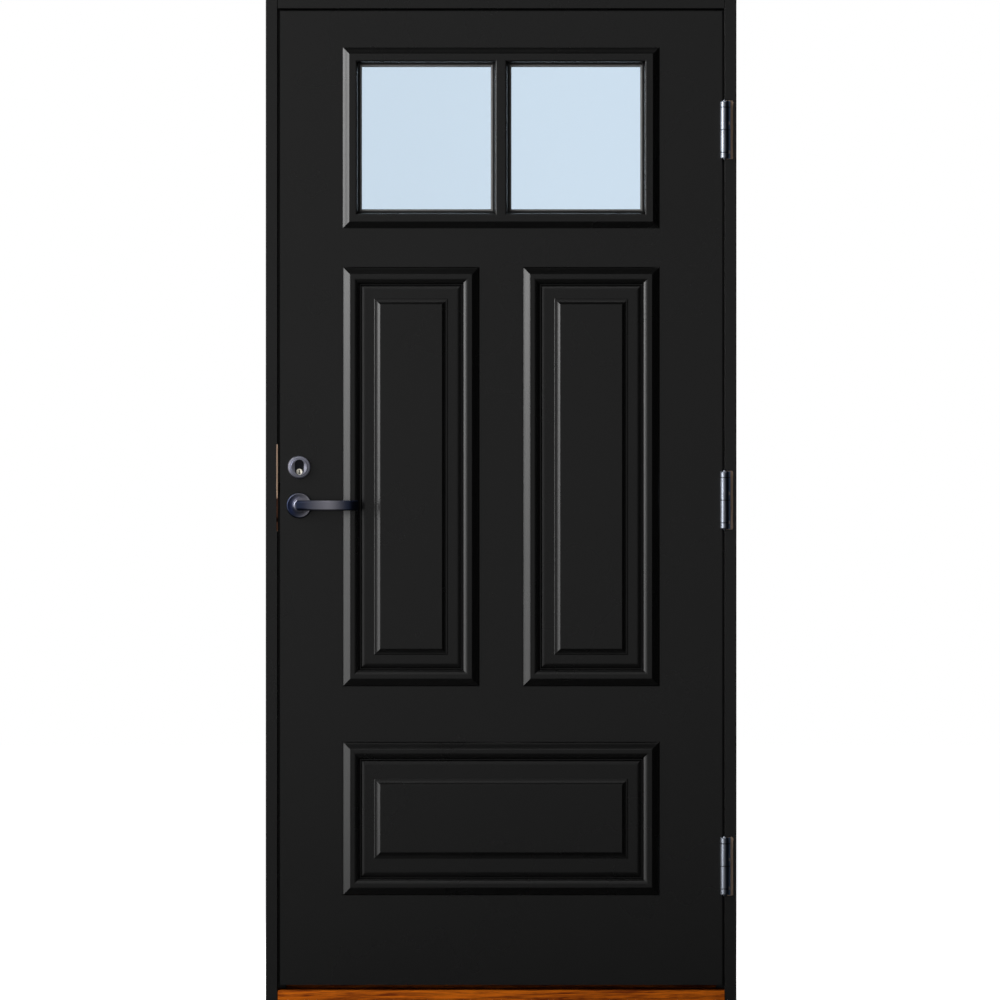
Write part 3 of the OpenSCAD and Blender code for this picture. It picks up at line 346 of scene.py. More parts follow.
def eased_slope(ease, rise, width):
    """An outer slope from its top to the leaf, which ends in a steep narrow edge."""
    edge = [(-EDGE_BREAK[0] * ease, EDGE_BREAK[1] * ease), (0.0, 0.0)]
    return ogee((-ease, ease), (-rise, width))[::-1] + edge


def quarter(start, end, steps=12):
    """A quarter ellipse that leaves the start flat and meets the end upright."""
    return [
        (
            end[0] + (start[0] - end[0]) * math.cos(math.pi / 2 * i / steps),
            start[1] + (end[1] - start[1]) * math.sin(math.pi / 2 * i / steps),
        )
        for i in range(steps + 1)
    ]


def pillow(start, end, steps=8):
    """A rounded rise that is steepest at the start and meets the end flat."""
    return [
        (end[0] + (start[0] - end[0]) * (1 - i / steps) ** 2, start[1] + (end[1] - start[1]) * i / steps)
        for i in range(steps + 1)
    ]


def cove(start, end, steps=8):
    """A hollow that leaves the start flat and steepens towards the end."""
    return [
        (start[0] + (end[0] - start[0]) * (i / steps) ** 2, start[1] + (end[1] - start[1]) * i / steps)
        for i in range(steps + 1)
    ]


class Board:
    """Mitred boards built from rectangles of different depth, on either face of the leaf."""

    def __init__(self, side):
        self.bm = bmesh.new()
        self.turn_to(side)

    def turn_to(self, side):
        """Goes on on the outer or the inner face."""
        self.face, self.inward = (FRONT, 1) if side == "outer" else (BACK, -1)

    def ring(self, rect, inset_x, inset_z, depth):
        """Corners of a rectangle drawn in, at a depth below the face."""
        x0, z0, x1, z1 = rect
        y = self.face + self.inward * depth
        places = (
            (x0 + inset_x, z0 + inset_z), (x1 - inset_x, z0 + inset_z),
            (x1 - inset_x, z1 - inset_z), (x0 + inset_x, z1 - inset_z),
        )
        return [self.bm.verts.new((x, y, z)) for x, z in places]

    def rings(self, rect, chain):
        """Rings along a chain of depth, inset and inset above and below, joined to each other."""
        made = [self.ring(rect, point[1], point[-1], point[0]) for point in chain]
        for a, b in zip(made, made[1:]):
            self.join(a, b)
        return made[0], made[-1]

    def join(self, a, b):
        """Four faces between two rings, with their mitres kept sharp."""
        for k in range(4):
            self.bm.faces.new((a[k], a[(k + 1) % 4], b[(k + 1) % 4], b[k]))
        for k in range(4):
            self.bm.edges.get((a[k], b[k])).smooth = False

    def cover(self, ring, openings):
        """The flat inside a ring, round its openings, which lie side by side."""
        if not openings:
            self.bm.faces.new(ring)
            return
        first, last = openings[0], openings[-1]
        self.bm.faces.new((ring[0], first[0], first[3], ring[3]))
        self.bm.faces.new((ring[1], last[1], last[2], ring[2]))
        low = [corner for opening in openings for corner in opening[:2]]
        high = [corner for opening in openings for corner in (opening[3], opening[2])]
        self.bm.faces.new([ring[0], *low, ring[1]])
        self.bm.faces.new([ring[3], *high, ring[2]])
        for left, right in zip(openings, openings[1:]):
            self.bm.faces.new((left[1], right[0], right[3], left[2]))


def rect_of(node):
    """Rectangle of a node in the plane of the wall."""
    low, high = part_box(node)
    return low.x, low.z, high.x, high.z


def depths_of(node, side):
    """How far a node stands out of the face of its side of the leaf, and how deep it goes."""
    low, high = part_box(node)
    return (FRONT - low.y, high.y - FRONT) if side == "outer" else (high.y - BACK, BACK - low.y)


def lights_of(shape, node):
    """Rectangles of the two openings of a window frame, at its top flat."""
    x0, z0, x1, z1 = rect_of(node)
    top = shape.window_slope + shape.window_flat
    middle = (x0 + x1) / 2
    return (
        (x0 + top, z0 + top, middle - shape.bar / 2, z1 - top),
        (middle + shape.bar / 2, z0 + top, x1 - top, z1 - top),
    )


def lathe(bm, profile, to_place, segments=96):
    """Turns a profile of radius and height round an axis; to_place carries its points into place."""
    rings = []
    for radius, height in profile:
        if radius < 1e-7:
            rings.append([bm.verts.new(to_place(0.0, 0.0, height))])
            continue
        angles = (2 * math.pi * i / segments for i in range(segments))
        rings.append([
            bm.verts.new(to_place(radius * math.cos(a), radius * math.sin(a), height)) for a in angles
        ])
    for a, b in zip(rings, rings[1:]):
        for i in range(segments):
            j = (i + 1) % segments
            corners = [a[i % len(a)], a[j % len(a)], b[j % len(b)], b[i % len(b)]]
            unique = list(dict.fromkeys(corners))
            if len(unique) > 2:
                bm.faces.new(unique)


# Small helpers for materials


def add(tree, kind, **values):
    """A node of the kind, with its settings."""
    made = tree.nodes.new(kind)
    for name, value in values.items():
        setattr(made, name, value)
    return made


def math_node(tree, operation, a, b):
    """The result of a sum on two sockets or numbers."""
    made = add(tree, "ShaderNodeMath", operation=operation)
    for socket, value in zip(made.inputs, (a, b)):
        if isinstance(value, (int, float)):
            socket.default_value = value
        else:
            tree.links.new(value, socket)
    return made.outputs[0]


def ramp(tree, value, low, high):
    """A value that rises from 0 to 1 between two levels."""
    made = add(tree, "ShaderNodeMapRange", interpolation_type="SMOOTHSTEP")
    tree.links.new(value, made.inputs["Value"])
    made.inputs["From Min"].default_value = low
    made.inputs["From Max"].default_value = high
    return made.outputs["Result"]


def noise(tree, vector, scale, detail=2.0, roughness=0.5):
    """Noise over a vector."""
    made = add(tree, "ShaderNodeTexNoise")
    tree.links.new(vector, made.inputs["Vector"])
    made.inputs["Scale"].default_value = scale
    made.inputs["Detail"].default_value = detail
    made.inputs["Roughness"].default_value = roughness
    return made.outputs["Fac"]


def new_group(name, inputs, outputs):
    """An empty shader group with its sockets, its entry and its exit."""
    tree = bpy.data.node_groups.new(name, "ShaderNodeTree")
    for socket, kind, default in inputs:
        made = tree.interface.new_socket(socket, in_out="INPUT", socket_type=kind)
        made.default_value = default
    for socket in outputs:
        tree.interface.new_socket(socket, in_out="OUTPUT", socket_type="NodeSocketFloat")
    return tree, add(tree, "NodeGroupInput"), add(tree, "NodeGroupOutput")


def sprayed_paint_group():
    """Fine ripple of sprayed paint, with slow drifts of gloss and faint dust."""
    tree, entry, leave = new_group(
        "sprayed_paint",
        [("Ripple", "NodeSocketFloat", 260.0), ("Drift", "NodeSocketFloat", 5.0)],
        ["Height", "Gloss", "Dust"],
    )
    place = add(tree, "ShaderNodeTexCoord").outputs["Object"]
    fine = add(tree, "ShaderNodeTexNoise")
    tree.links.new(place, fine.inputs["Vector"])
    tree.links.new(entry.outputs["Ripple"], fine.inputs["Scale"])
    fine.inputs["Detail"].default_value = 1.5
    slow = add(tree, "ShaderNodeTexNoise")
    tree.links.new(place, slow.inputs["Vector"])
    tree.links.new(entry.outputs["Drift"], slow.inputs["Scale"])
    slow.inputs["Detail"].default_value = 3.0
    specks = ramp(tree, noise(tree, place, 900.0, 1.0), 0.66, 0.80)
    patches = ramp(tree, slow.outputs["Fac"], 0.40, 0.70)
    tree.links.new(fine.outputs["Fac"], leave.inputs["Height"])
    tree.links.new(slow.outputs["Fac"], leave.inputs["Gloss"])
    tree.links.new(math_node(tree, "MULTIPLY", specks, patches), leave.inputs["Dust"])
    return tree


def wood_grain_group():
    """Streaks of wood along one direction, with darker pores."""
    tree, entry, leave = new_group(
        "wood_grain", [("Stretch", "NodeSocketVector", (4.0, 90.0, 90.0))], ["Streaks", "Pores", "Height"]
    )
    place = add(tree, "ShaderNodeTexCoord").outputs["Object"]
    lean = add(tree, "ShaderNodeVectorRotate", rotation_type="Y_AXIS")
    tree.links.new(place, lean.inputs["Vector"])
    lean.inputs["Angle"].default_value = math.radians(0.8)
    drawn = add(tree, "ShaderNodeVectorMath", operation="MULTIPLY")
    tree.links.new(lean.outputs["Vector"], drawn.inputs[0])
    tree.links.new(entry.outputs["Stretch"], drawn.inputs[1])
    bend = add(tree, "ShaderNodeTexNoise")
    tree.links.new(drawn.outputs["Vector"], bend.inputs["Vector"])
    bend.inputs["Scale"].default_value = 0.35
    pushed = add(tree, "ShaderNodeVectorMath", operation="MULTIPLY_ADD")
    tree.links.new(bend.outputs["Color"], pushed.inputs[0])
    pushed.inputs[1].default_value = (0.0, 3.0, 3.0)
    tree.links.new(drawn.outputs["Vector"], pushed.inputs[2])
    wide = noise(tree, pushed.outputs["Vector"], 1.0, 4.0, 0.62)
    narrow = noise(tree, pushed.outputs["Vector"], 4.5, 3.0, 0.6)
    wide_part = math_node(tree, "MULTIPLY", wide, 0.7)
    narrow_part = math_node(tree, "MULTIPLY", narrow, 0.3)
    streaks = math_node(tree, "ADD", wide_part, narrow_part)
    pores = ramp(tree, narrow, 0.60, 0.74)
    tree.links.new(ramp(tree, streaks, 0.36, 0.64), leave.inputs["Streaks"])
    tree.links.new(pores, leave.inputs["Pores"])
    tree.links.new(streaks, leave.inputs["Height"])
    return tree


def brushed_metal_group():
    """Fine brush lines along one direction and slow smudges of gloss."""
    tree, entry, leave = new_group(
        "brushed_metal",
        [("Stretch", "NodeSocketVector", (60.0, 900.0, 900.0)), ("Gloss", "NodeSocketFloat", 0.25)],
        ["Height", "Roughness"],
    )
    place = add(tree, "ShaderNodeTexCoord").outputs["Object"]
    drawn = add(tree, "ShaderNodeVectorMath", operation="MULTIPLY")
    tree.links.new(place, drawn.inputs[0])
    tree.links.new(entry.outputs["Stretch"], drawn.inputs[1])
    lines = noise(tree, drawn.outputs["Vector"], 1.0, 2.0)
    smudge = noise(tree, place, 60.0, 2.0)
    line_part = math_node(tree, "MULTIPLY", lines, 0.06)
    smudge_part = math_node(tree, "MULTIPLY", smudge, 0.10)
    spread = math_node(tree, "ADD", line_part, smudge_part)
    shifted = math_node(tree, "ADD", spread, -0.08)
    rough = add(tree, "ShaderNodeMath", operation="ADD", use_clamp=True)
    tree.links.new(entry.outputs["Gloss"], rough.inputs[0])
    tree.links.new(shifted, rough.inputs[1])
    tree.links.new(lines, leave.inputs["Height"])
    tree.links.new(rough.outputs[0], leave.inputs["Roughness"])
    return tree


def group_of(name, build):
    """A shader group, built at its first use."""
    return bpy.data.node_groups.get(name) or build()


def place_group(tree, name, build, **values):
    """A shader group in a material, with its own values."""
    made = add(tree, "ShaderNodeGroup", node_tree=group_of(name, build))
    for socket, value in values.items():
        made.inputs[socket].default_value = value
    return made.outputs


def ready(name):
    """A finish that one of the pieces has built already."""
    made = bpy.data.materials.get(name)
    return made if made and made.get("front_door") else None


def new_material(name):
    """A material with one principled shader: its tree and the shader's sockets."""
    made = bpy.data.materials.get(name)
    if made:
        bpy.data.materials.remove(made)
    made = bpy.data.materials.new(name)
    made["front_door"] = True
    made.use_nodes = True
    tree = made.node_tree
    return made, tree, tree.nodes["Principled BSDF"].inputs


def mixed(tree, mask, low, high):
    """Two colours or sockets mixed by a mask."""
    made = add(tree, "ShaderNodeMix", data_type="RGBA")
    tree.links.new(mask, made.inputs["Factor"])
    for socket, value in ((made.inputs["A"], low), (made.inputs["B"], high)):
        if isinstance(value, bpy.types.NodeSocket):
            tree.links.new(value, socket)
        else:
            socket.default_value = (*value, 1.0)
    return made.outputs["Result"]


def bump(tree, shader, height, relief):
    """Relief from a height, into the shader's normal."""
    made = add(tree, "ShaderNodeBump")
    made.inputs["Strength"].default_value, made.inputs["Distance"].default_value = relief
    tree.links.new(height, made.inputs["Height"])
    tree.links.new(made.outputs["Normal"], shader["Normal"])


def paint_colour(tree, finish, group):
    """Paint with faint dust."""
    dust = tuple(min(1.0, 0.02 + channel * 2) for channel in finish.paint)
    faint = math_node(tree, "MULTIPLY", group["Dust"], 0.25)
    return mixed(tree, faint, finish.paint, dust)


def paint_roughness(tree, finish, group):
    """Gloss of the paint, drifting a little over the surface."""
    drift = math_node(tree, "MULTIPLY", math_node(tree, "SUBTRACT", group["Gloss"], 0.5), 0.10)
    return math_node(tree, "ADD", drift, finish.paint_roughness)


def black_paint():
    """Satin paint of the leaf, the mouldings and the frame."""
    made = ready("black_paint")
    if made:
        return made
    finish = bpy.context.scene.front_door_finish
    made, tree, shader = new_material("black_paint")
    group = place_group(tree, "sprayed_paint", sprayed_paint_group)
    tree.links.new(paint_colour(tree, finish, group), shader["Base Color"])
    tree.links.new(paint_roughness(tree, finish, group), shader["Roughness"])
    shader["IOR"].default_value = PAINT_IOR
    bump(tree, shader, group["Height"], PAINT_RELIEF)
    return made


def grain_colours(tree, group, light, dark):
    """Wood from its two tones and its pores."""
    streaked = mixed(tree, group["Streaks"], dark, light)
    pore = tuple(channel * 0.35 for channel in dark)
    return mixed(tree, math_node(tree, "MULTIPLY", group["Pores"], 0.6), streaked, pore)


def wood(name, light, dark, stretch, roughness, shine=0.5):
    """A wood finish with streaks along the long direction of its stretch."""
    made, tree, shader = new_material(name)
    group = place_group(tree, "wood_grain", wood_grain_group, Stretch=stretch)
    tree.links.new(grain_colours(tree, group, light, dark), shader["Base Color"])
    dull = math_node(tree, "MULTIPLY", group["Pores"], 0.2)
    tree.links.new(math_node(tree, "ADD", dull, roughness), shader["Roughness"])
    shader["Specular IOR Level"].default_value = shine
    bump(tree, shader, group["Height"], WOOD_RELIEF)
    return made


def inside_box(tree, low, high):
    """A mask that is 1 inside a box of the object's own coordinates."""
    place = add(tree, "ShaderNodeTexCoord").outputs["Object"]
    split = add(tree, "ShaderNodeSeparateXYZ")
    tree.links.new(place, split.inputs[0])
    mask = None
    for axis in range(3):
        above = math_node(tree, "GREATER_THAN", split.outputs[axis], low[axis])
        below = math_node(tree, "LESS_THAN", split.outputs[axis], high[axis])
        both = math_node(tree, "MULTIPLY", above, below)
        mask = both if mask is None else math_node(tree, "MULTIPLY", mask, both)
    return mask


def cut_paint(name, boxes):
    """Paint with bare timber inside boxes, where a recess was cut after painting."""
    finish = bpy.context.scene.front_door_finish
    made, tree, shader = new_material(name)
    group = place_group(tree, "sprayed_paint", sprayed_paint_group)
    grain = place_group(tree, "wood_grain", wood_grain_group, Stretch=TIMBER_GRAIN)
    mask = None
    for low, high in boxes:
        part = inside_box(tree, low, high)
        mask = part if mask is None else math_node(tree, "MAXIMUM", mask, part)
    bare = grain_colours(tree, grain, finish.timber, finish.timber_dark)
    tree.links.new(mixed(tree, mask, paint_colour(tree, finish, group), bare), shader["Base Color"])
    rough = math_node(tree, "MULTIPLY", mask, BARE_ROUGHNESS)
    both = math_node(tree, "MAXIMUM", paint_roughness(tree, finish, group), rough)
    tree.links.new(both, shader["Roughness"])
    shader["IOR"].default_value = PAINT_IOR
    bump(tree, shader, group["Height"], PAINT_RELIEF)
    return made


def brushed(tree, shader, stretch, gloss):
    """Brush lines of a metal: its gloss and its relief."""
    group = place_group(tree, "brushed_metal", brushed_metal_group, Stretch=stretch, Gloss=gloss)
    shader["Metallic"].default_value = 1.0
    tree.links.new(group["Roughness"], shader["Roughness"])
    bump(tree, shader, group["Height"], BRUSH_RELIEF)


def metal(name, tint, roughness, stretch):
    """A brushed metal."""
    made = ready(name)
    if made:
        return made
    made, tree, shader = new_material(name)
    brushed(tree, shader, stretch, roughness)
    shader["Base Color"].default_value = (*tint, 1.0)
    return made


def satin_metal():
    """Satin metal of the cylinder ring, and of the knob indoors and its rosette."""
    return metal("satin_metal", bpy.context.scene.front_door_finish.satin, 0.30, (300.0, 900.0, 300.0))


def rosette_metal():
    """Satin metal of the rosettes, with a painted highlight on the side away from the lock's edge, painted
    shade on the other side and a painted shadow round the outer rim.
    """
    made = ready("rosette_metal")
    if made:
        return made
    finish = bpy.context.scene.front_door_finish
    made, tree, shader = new_material("rosette_metal")
    brushed(tree, shader, (600.0, 900.0, 600.0), 0.34)
    low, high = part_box("outer_rosette")
    # Painted light: lighter towards the right and the top, darker towards the left and the bottom
    across = math_node(tree, "SUBTRACT", axis_place(tree, "X"), (low.x + high.x) / 2)
    upward = math_node(tree, "SUBTRACT", axis_place(tree, "Z"), (low.z + high.z) / 2)
    toward = math_node(tree, "ADD", across, math_node(tree, "MULTIPLY", upward, 0.4))
    radius = (high.x - low.x) / 2
    lit = ramp(tree, toward, -0.9 * radius, 0.9 * radius)
    from_axis = add(tree, "ShaderNodeCombineXYZ")
    tree.links.new(across, from_axis.inputs["X"])
    tree.links.new(upward, from_axis.inputs["Z"])
    apart = add(tree, "ShaderNodeVectorMath", operation="LENGTH")
    tree.links.new(from_axis.outputs["Vector"], apart.inputs[0])
    # Painted shadow: a darker band round the outer rim
    rim_inside, rim_outside = radius - 3 * MM, radius - 1 * MM
    rim = ramp(tree, apart.outputs["Value"], rim_inside, rim_outside)
    rim_shade = tuple(channel * 0.6 for channel in finish.satin_shade)
    face = mixed(tree, lit, finish.satin_shade, finish.rosette_highlight)
    tree.links.new(mixed(tree, rim, face, rim_shade), shader["Base Color"])
    return made


def axis_place(tree, axis):
    """One coordinate of a place in the object's own frame."""
    split = add(tree, "ShaderNodeSeparateXYZ")
    tree.links.new(add(tree, "ShaderNodeTexCoord").outputs["Object"], split.inputs[0])
    return split.outputs[axis]


def lever_metal():
    """Satin metal of the levers, with a painted highlight along the middle of the bar and painted shade at
    its root by the neck and at its tip.
    """
    made = ready("lever_metal")
    if made:
        return made
    finish = bpy.context.scene.front_door_finish
    made, tree, shader = new_material("lever_metal")
    brushed(tree, shader, (150.0, 900.0, 900.0), 0.30)
    along = math_node(tree, "SUBTRACT", axis_place(tree, "X"), LOCK_X)
    # Painted reflection: the bar is lighter in its middle and darker towards its root and its tip
    painted_light = math_node(tree, "MULTIPLY", ramp(tree, along, *LEVER_RISE), ramp(tree, along, *LEVER_FALL))
    bar = mixed(tree, painted_light, finish.satin_shade, finish.satin_highlight)
    middle = (FRONT + BACK) / 2
    reach = (BACK - FRONT) / 2 + bpy.context.scene.front_door_shape.neck_reach
    out = math_node(tree, "ABSOLUTE", math_node(tree, "SUBTRACT", axis_place(tree, "Y"), middle), 0.0)
    blend = 0.5 * MM
    neck = ramp(tree, out, reach + blend, reach - blend)
    tree.links.new(mixed(tree, neck, bar, finish.satin), shader["Base Color"])
    return made


def hinge_zinc():
    """Bright zinc of the hinges, with painted shade, darker and bluer, beside the jamb and painted shadow
    lines where knuckles and caps meet.
    """
    made = ready("hinge_zinc")
    if made:
        return made
    finish = bpy.context.scene.front_door_finish
    made, tree, shader = new_material("hinge_zinc")
    brushed(tree, shader, (900.0, 900.0, 60.0), 0.38)
    up = axis_place(tree, "Z")
    away = None
    for hinge in HINGES:
        low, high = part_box(f"{hinge}_hinge_frame_leaf")
        middle = (low.z + high.z) / 2
        height = math_node(tree, "ABSOLUTE", math_node(tree, "SUBTRACT", up, middle), 0.0)
        away = height if away is None else math_node(tree, "MINIMUM", away, height)
    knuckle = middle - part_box(f"{hinge}_hinge_pin")[0].z
    at_cap = math_node(tree, "ABSOLUTE", math_node(tree, "SUBTRACT", away, knuckle), 0.0)
    # Painted shadow: dark lines across the seams where knuckles and caps meet
    lines = ramp(tree, math_node(tree, "MINIMUM", away, at_cap), *HINGE_SEAM)
    dark_mark = tuple(channel * 0.12 for channel in finish.zinc)
    # Painted shade: darker and bluer to the right of the pin
    low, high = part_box(f"{hinge}_hinge_pin")
    beside = math_node(tree, "SUBTRACT", axis_place(tree, "X"), (low.x + high.x) / 2)
    zinc_with_shade = mixed(tree, ramp(tree, beside, *HINGE_SHADE), finish.zinc, finish.zinc_shade)
    tree.links.new(mixed(tree, lines, zinc_with_shade, dark_mark), shader["Base Color"])
    return made


def lock_steel():
    """Plain steel of the lock, the pins and the screws."""
    return metal("lock_steel", bpy.context.scene.front_door_finish.steel, 0.35, (700.0, 700.0, 90.0))


def rubber(name, tint, roughness, heel=None):
    """Matt rubber of a seal, with another tone at its heel, away from the glass, that is painted shade."""
    made, tree, shader = new_material(name)
    group = place_group(tree, "sprayed_paint", sprayed_paint_group, Ripple=500.0, Drift=20.0)
    dusty = tuple(channel + 0.03 for channel in tint)
    tone = mixed(tree, math_node(tree, "MULTIPLY", group["Gloss"], 0.4), tint, dusty)
    # Painted shade: the heel takes the darker tone
    if heel:
        from_middle = math_node(tree, "SUBTRACT", axis_place(tree, "Y"), (FRONT + BACK) / 2)
        out = math_node(tree, "ABSOLUTE", from_middle, 0.0)
        lip = (BACK - FRONT) / 2 - bpy.context.scene.front_door_shape.lip_heel
        blend = 0.1 * MM
        tone = mixed(tree, ramp(tree, out, lip - blend, lip + blend), tone, heel)
    tree.links.new(tone, shader["Base Color"])
    shader["Roughness"].default_value = roughness
    bump(tree, shader, group["Height"], RUBBER_RELIEF)
    return made


# Pieces


class FRONT_DOOR_OT_leaf(bpy.types.Operator):
    """Paint the face sheets and the timber of the leaf"""

    bl_idname = "front_door.leaf"
    bl_label = "Leaf"

    def execute(self, context):
        dress(black_paint(), "outer_skin", "inner_skin")
        finish = context.scene.front_door_finish
        core = wood("inner_timber", finish.timber, finish.timber_dark, TIMBER_GRAIN, 0.6)
        dress(core, "window_rail", "middle_rail", "centre_muntin")
        rim = 1 * MM
        cut = cut_paint("painted_stile", [(
            Vector((rim - LEAF_EDGE, CAD_BOUNDS[0].y, LEAF_LOW.z + rim)),
            Vector((LEAF_EDGE - rim, CAD_BOUNDS[1].y, LEAF_HIGH.z - rim)),
        )])
        dress(cut, "lock_stile", "hinge_stile", "top_rail", "bottom_rail")
        return {"FINISHED"}


class FRONT_DOOR_OT_frame_timbers(bpy.types.Operator):
    """Paint the jambs and the head, with bare timber where hinges and strike plate are let in"""

    bl_idname = "front_door.frame_timbers"
    bl_label = "Frame timbers"

    def execute(self, context):
        dress(black_paint(), "frame_head")
        deep, round_it, wall = 0.2 * MM, 1 * MM, 2 * MM
        hinge_reach, strike_reach = 60 * MM, 5 * MM
        recesses = []
        rebate = -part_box("strike_plate")[1].x
        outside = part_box("hinge_jamb")[1].x
        for hinge in HINGES:
            low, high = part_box(f"{hinge}_hinge_frame_leaf")
            recesses.append((
                Vector((rebate + deep, JAMB_FACE + deep, low.z - round_it)),
                Vector((outside - wall, JAMB_FACE + hinge_reach, high.z + round_it)),
            ))
        dress(cut_paint("hinge_jamb_paint", recesses), "hinge_jamb")
        low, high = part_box("strike_plate")
        dress(cut_paint("lock_jamb_paint", [(
            Vector((wall - outside, JAMB_FACE + deep, low.z - round_it)),
            Vector((high.x - deep, high.y + strike_reach, high.z + round_it)),
        )]), "lock_jamb")
        return {"FINISHED"}


class FRONT_DOOR_OT_threshold(bpy.types.Operator):
    """Stain the threshold"""

    bl_idname = "front_door.threshold"
    bl_label = "Threshold"

    def execute(self, context):
        finish = context.scene.front_door_finish
        stained = wood("stained_hardwood", finish.stain, finish.stain_dark, THRESHOLD_GRAIN, 0.45, 0.1)
        dress(stained, "threshold")
        soften_edges(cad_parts["threshold"], context.scene.front_door_shape.edge, 3)
        return {"FINISHED"}


class FRONT_DOOR_OT_mouldings(bpy.types.Operator):
    """Make the mitred mouldings round the panels on both faces"""

    bl_idname = "front_door.mouldings"
    bl_label = "Panel mouldings"

    def execute(self, context):
        shape = context.scene.front_door_shape
        for side in SIDES:
            for panel in PANELS:
                self.make(shape, side, f"{side}_{panel}_moulding")
        return {"FINISHED"}

    def make(self, shape, side, node):
        """One moulding: outer slope, flat, inner slope and its seat in the leaf."""
        rise, deep = depths_of(node, side)
        top = shape.slope + shape.flat
        outer = eased_slope(shape.ease, rise, shape.slope)
        body = rounded([(-rise, shape.slope + shape.land), *outer], shape.soft)
        body += [(0.0, shape.seat), (deep, shape.seat)]
        inner = rounded([
            (-rise, -shape.land), (-rise, 0.0), (shape.roll_ease[0] - rise, shape.roll_ease[1]),
            (shape.roll_fall[0] - rise, shape.roll_fall[1]), (deep - shape.land, shape.roll),
            (deep, shape.roll),
        ], shape.roll_soft, 5)
        board = Board(side)
        rect = rect_of(node)
        opening = (rect[0] + top, rect[1] + top, rect[2] - top, rect[3] - top)
        outer_top, seat = board.rings(rect, body)
        inner_top, inner_low = board.rings(opening, inner)
        board.cover(outer_top, [inner_top])
        board.cover(seat, [inner_low])
        link(f"{node}_fine", board.bm, black_paint(), "leaf", node)


class FRONT_DOOR_OT_panels(bpy.types.Operator):
    """Make the raised and fielded panels, alike on both faces"""

    bl_idname = "front_door.panels"
    bl_label = "Raised panels"

    def execute(self, context):
        shape = context.scene.front_door_shape
        for panel in PANELS:
            self.make(shape, f"{panel}_panel", f"outer_{panel}_moulding")
        return {"FINISHED"}

    def face(self, shape, flat, depths):
        """Chain of one face from its edge in the leaf to the field."""
        edge_deep, sunk_deep, field_deep = depths
        step = shape.field_step
        edge = shape.slope + shape.flat + shape.roll + shape.quirk
        sunk = edge + shape.hollow
        slope = sunk + flat
        field = slope + shape.field_slope
        foot = (sunk_deep - step - shape.field_rise, slope + step + shape.field_ledge)
        return rounded([
            (edge_deep, shape.seat), (edge_deep, edge),
            *pillow((sunk_deep + shape.pillow, edge + step), (sunk_deep, sunk)),
            (sunk_deep, slope), (sunk_deep - step, slope + step),
            *cove(foot, (field_deep, field)), (field_deep, field + shape.field_land),
        ], shape.panel_soft)

    def make(self, shape, node, moulding):
        """One panel between its two fields."""
        edge_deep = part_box(moulding)[1].y - FRONT
        field_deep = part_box(node)[0].y - FRONT
        depths = (edge_deep, shape.sunk_deep, field_deep)
        ends = shape.lower_sunk if node == "lower_panel" else shape.sunk
        across, upright = (self.face(shape, flat, depths) for flat in (shape.sunk, ends))
        rect = rect_of(moulding)
        rims = []
        board = Board("outer")
        for side in SIDES:
            board.turn_to(side)
            chain = [(a[0], a[1], b[1]) for a, b in zip(across, upright)]
            rim, field = board.rings(rect, chain)
            board.cover(field, [])
            rims.append(rim)
        board.join(*rims)
        link(f"{node}_fine", board.bm, black_paint(), "leaf", node)


class FRONT_DOOR_OT_window_frames(bpy.types.Operator):
    """Make the two window frames with their glazing bars"""

    bl_idname = "front_door.window_frames"
    bl_label = "Window frames"

    def execute(self, context):
        shape = context.scene.front_door_shape
        for side in SIDES:
            self.make(shape, side, f"{side}_window_frame")
        return {"FINISHED"}

    def make(self, shape, side, node):
        """One window frame with two openings."""
        rise, deep = depths_of(node, side)
        outer = eased_slope(shape.window_ease, rise, shape.window_slope)
        body = rounded([(-rise, shape.window_slope + shape.land), *outer], shape.soft)
        body += [(0.0, shape.seat), (deep, shape.seat)]
        roll = quarter((-rise, shape.window_ledge), (shape.bead_deep, shape.window_roll))
        inner = rounded([
            (-rise, -shape.land), (-rise, 0.0), *roll[2:], (deep, shape.window_roll),
        ], shape.window_soft)
        board = Board(side)
        rect = rect_of(node)
        lights = lights_of(shape, node)
        outer_top, seat = board.rings(rect, body)
        ends = [board.rings(light, inner) for light in lights]
        board.cover(outer_top, [end[0] for end in ends])
        board.cover(seat, [end[1] for end in ends])
        link(f"{node}_fine", board.bm, black_paint(), "leaf", node)


class FRONT_DOOR_OT_gaskets(bpy.types.Operator):
    """Make the grey gaskets between the window frames and the glass"""

    bl_idname = "front_door.gaskets"
    bl_label = "Gaskets"

    def execute(self, context):
        shape = context.scene.front_door_shape
        finish = context.scene.front_door_finish
        glass_deep = {
            "outer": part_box("outer_pane")[0].y - FRONT,
            "inner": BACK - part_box("inner_pane")[1].y,
        }
        board = Board("outer")
        for side in SIDES:
            board.turn_to(side)
            for light in lights_of(shape, f"{side}_window_frame"):
                self.make(shape, board, light, glass_deep[side])
        # Painted shade: the heel of the gasket beside the window frame takes the dark rubber
        grey = rubber("glazing_rubber", finish.gasket, 0.5, finish.rubber)
        link("glazing_gaskets", board.bm, grey, "leaf", "glazing_seals", slot="seal_rubber")
        return {"FINISHED"}

    def make(self, shape, board, light, glass):
        """One gasket: a soft lip that falls to the glass."""
        outside = shape.window_roll + shape.bead_gap
        inside = shape.window_roll + shape.bead
        low = glass - shape.glass_gap
        chain = rounded([
            (low, outside), (shape.lip_heel, outside), (shape.lip_crown[0], outside + shape.lip_crown[1]),
            (shape.lip_fall[0], inside - shape.lip_fall[1]), (shape.lip_foot[0], inside - shape.lip_foot[1]),
            (low, inside),
        ], shape.lip_soft, 4)
        first, last = board.rings(light, chain)
        board.join(last, first)


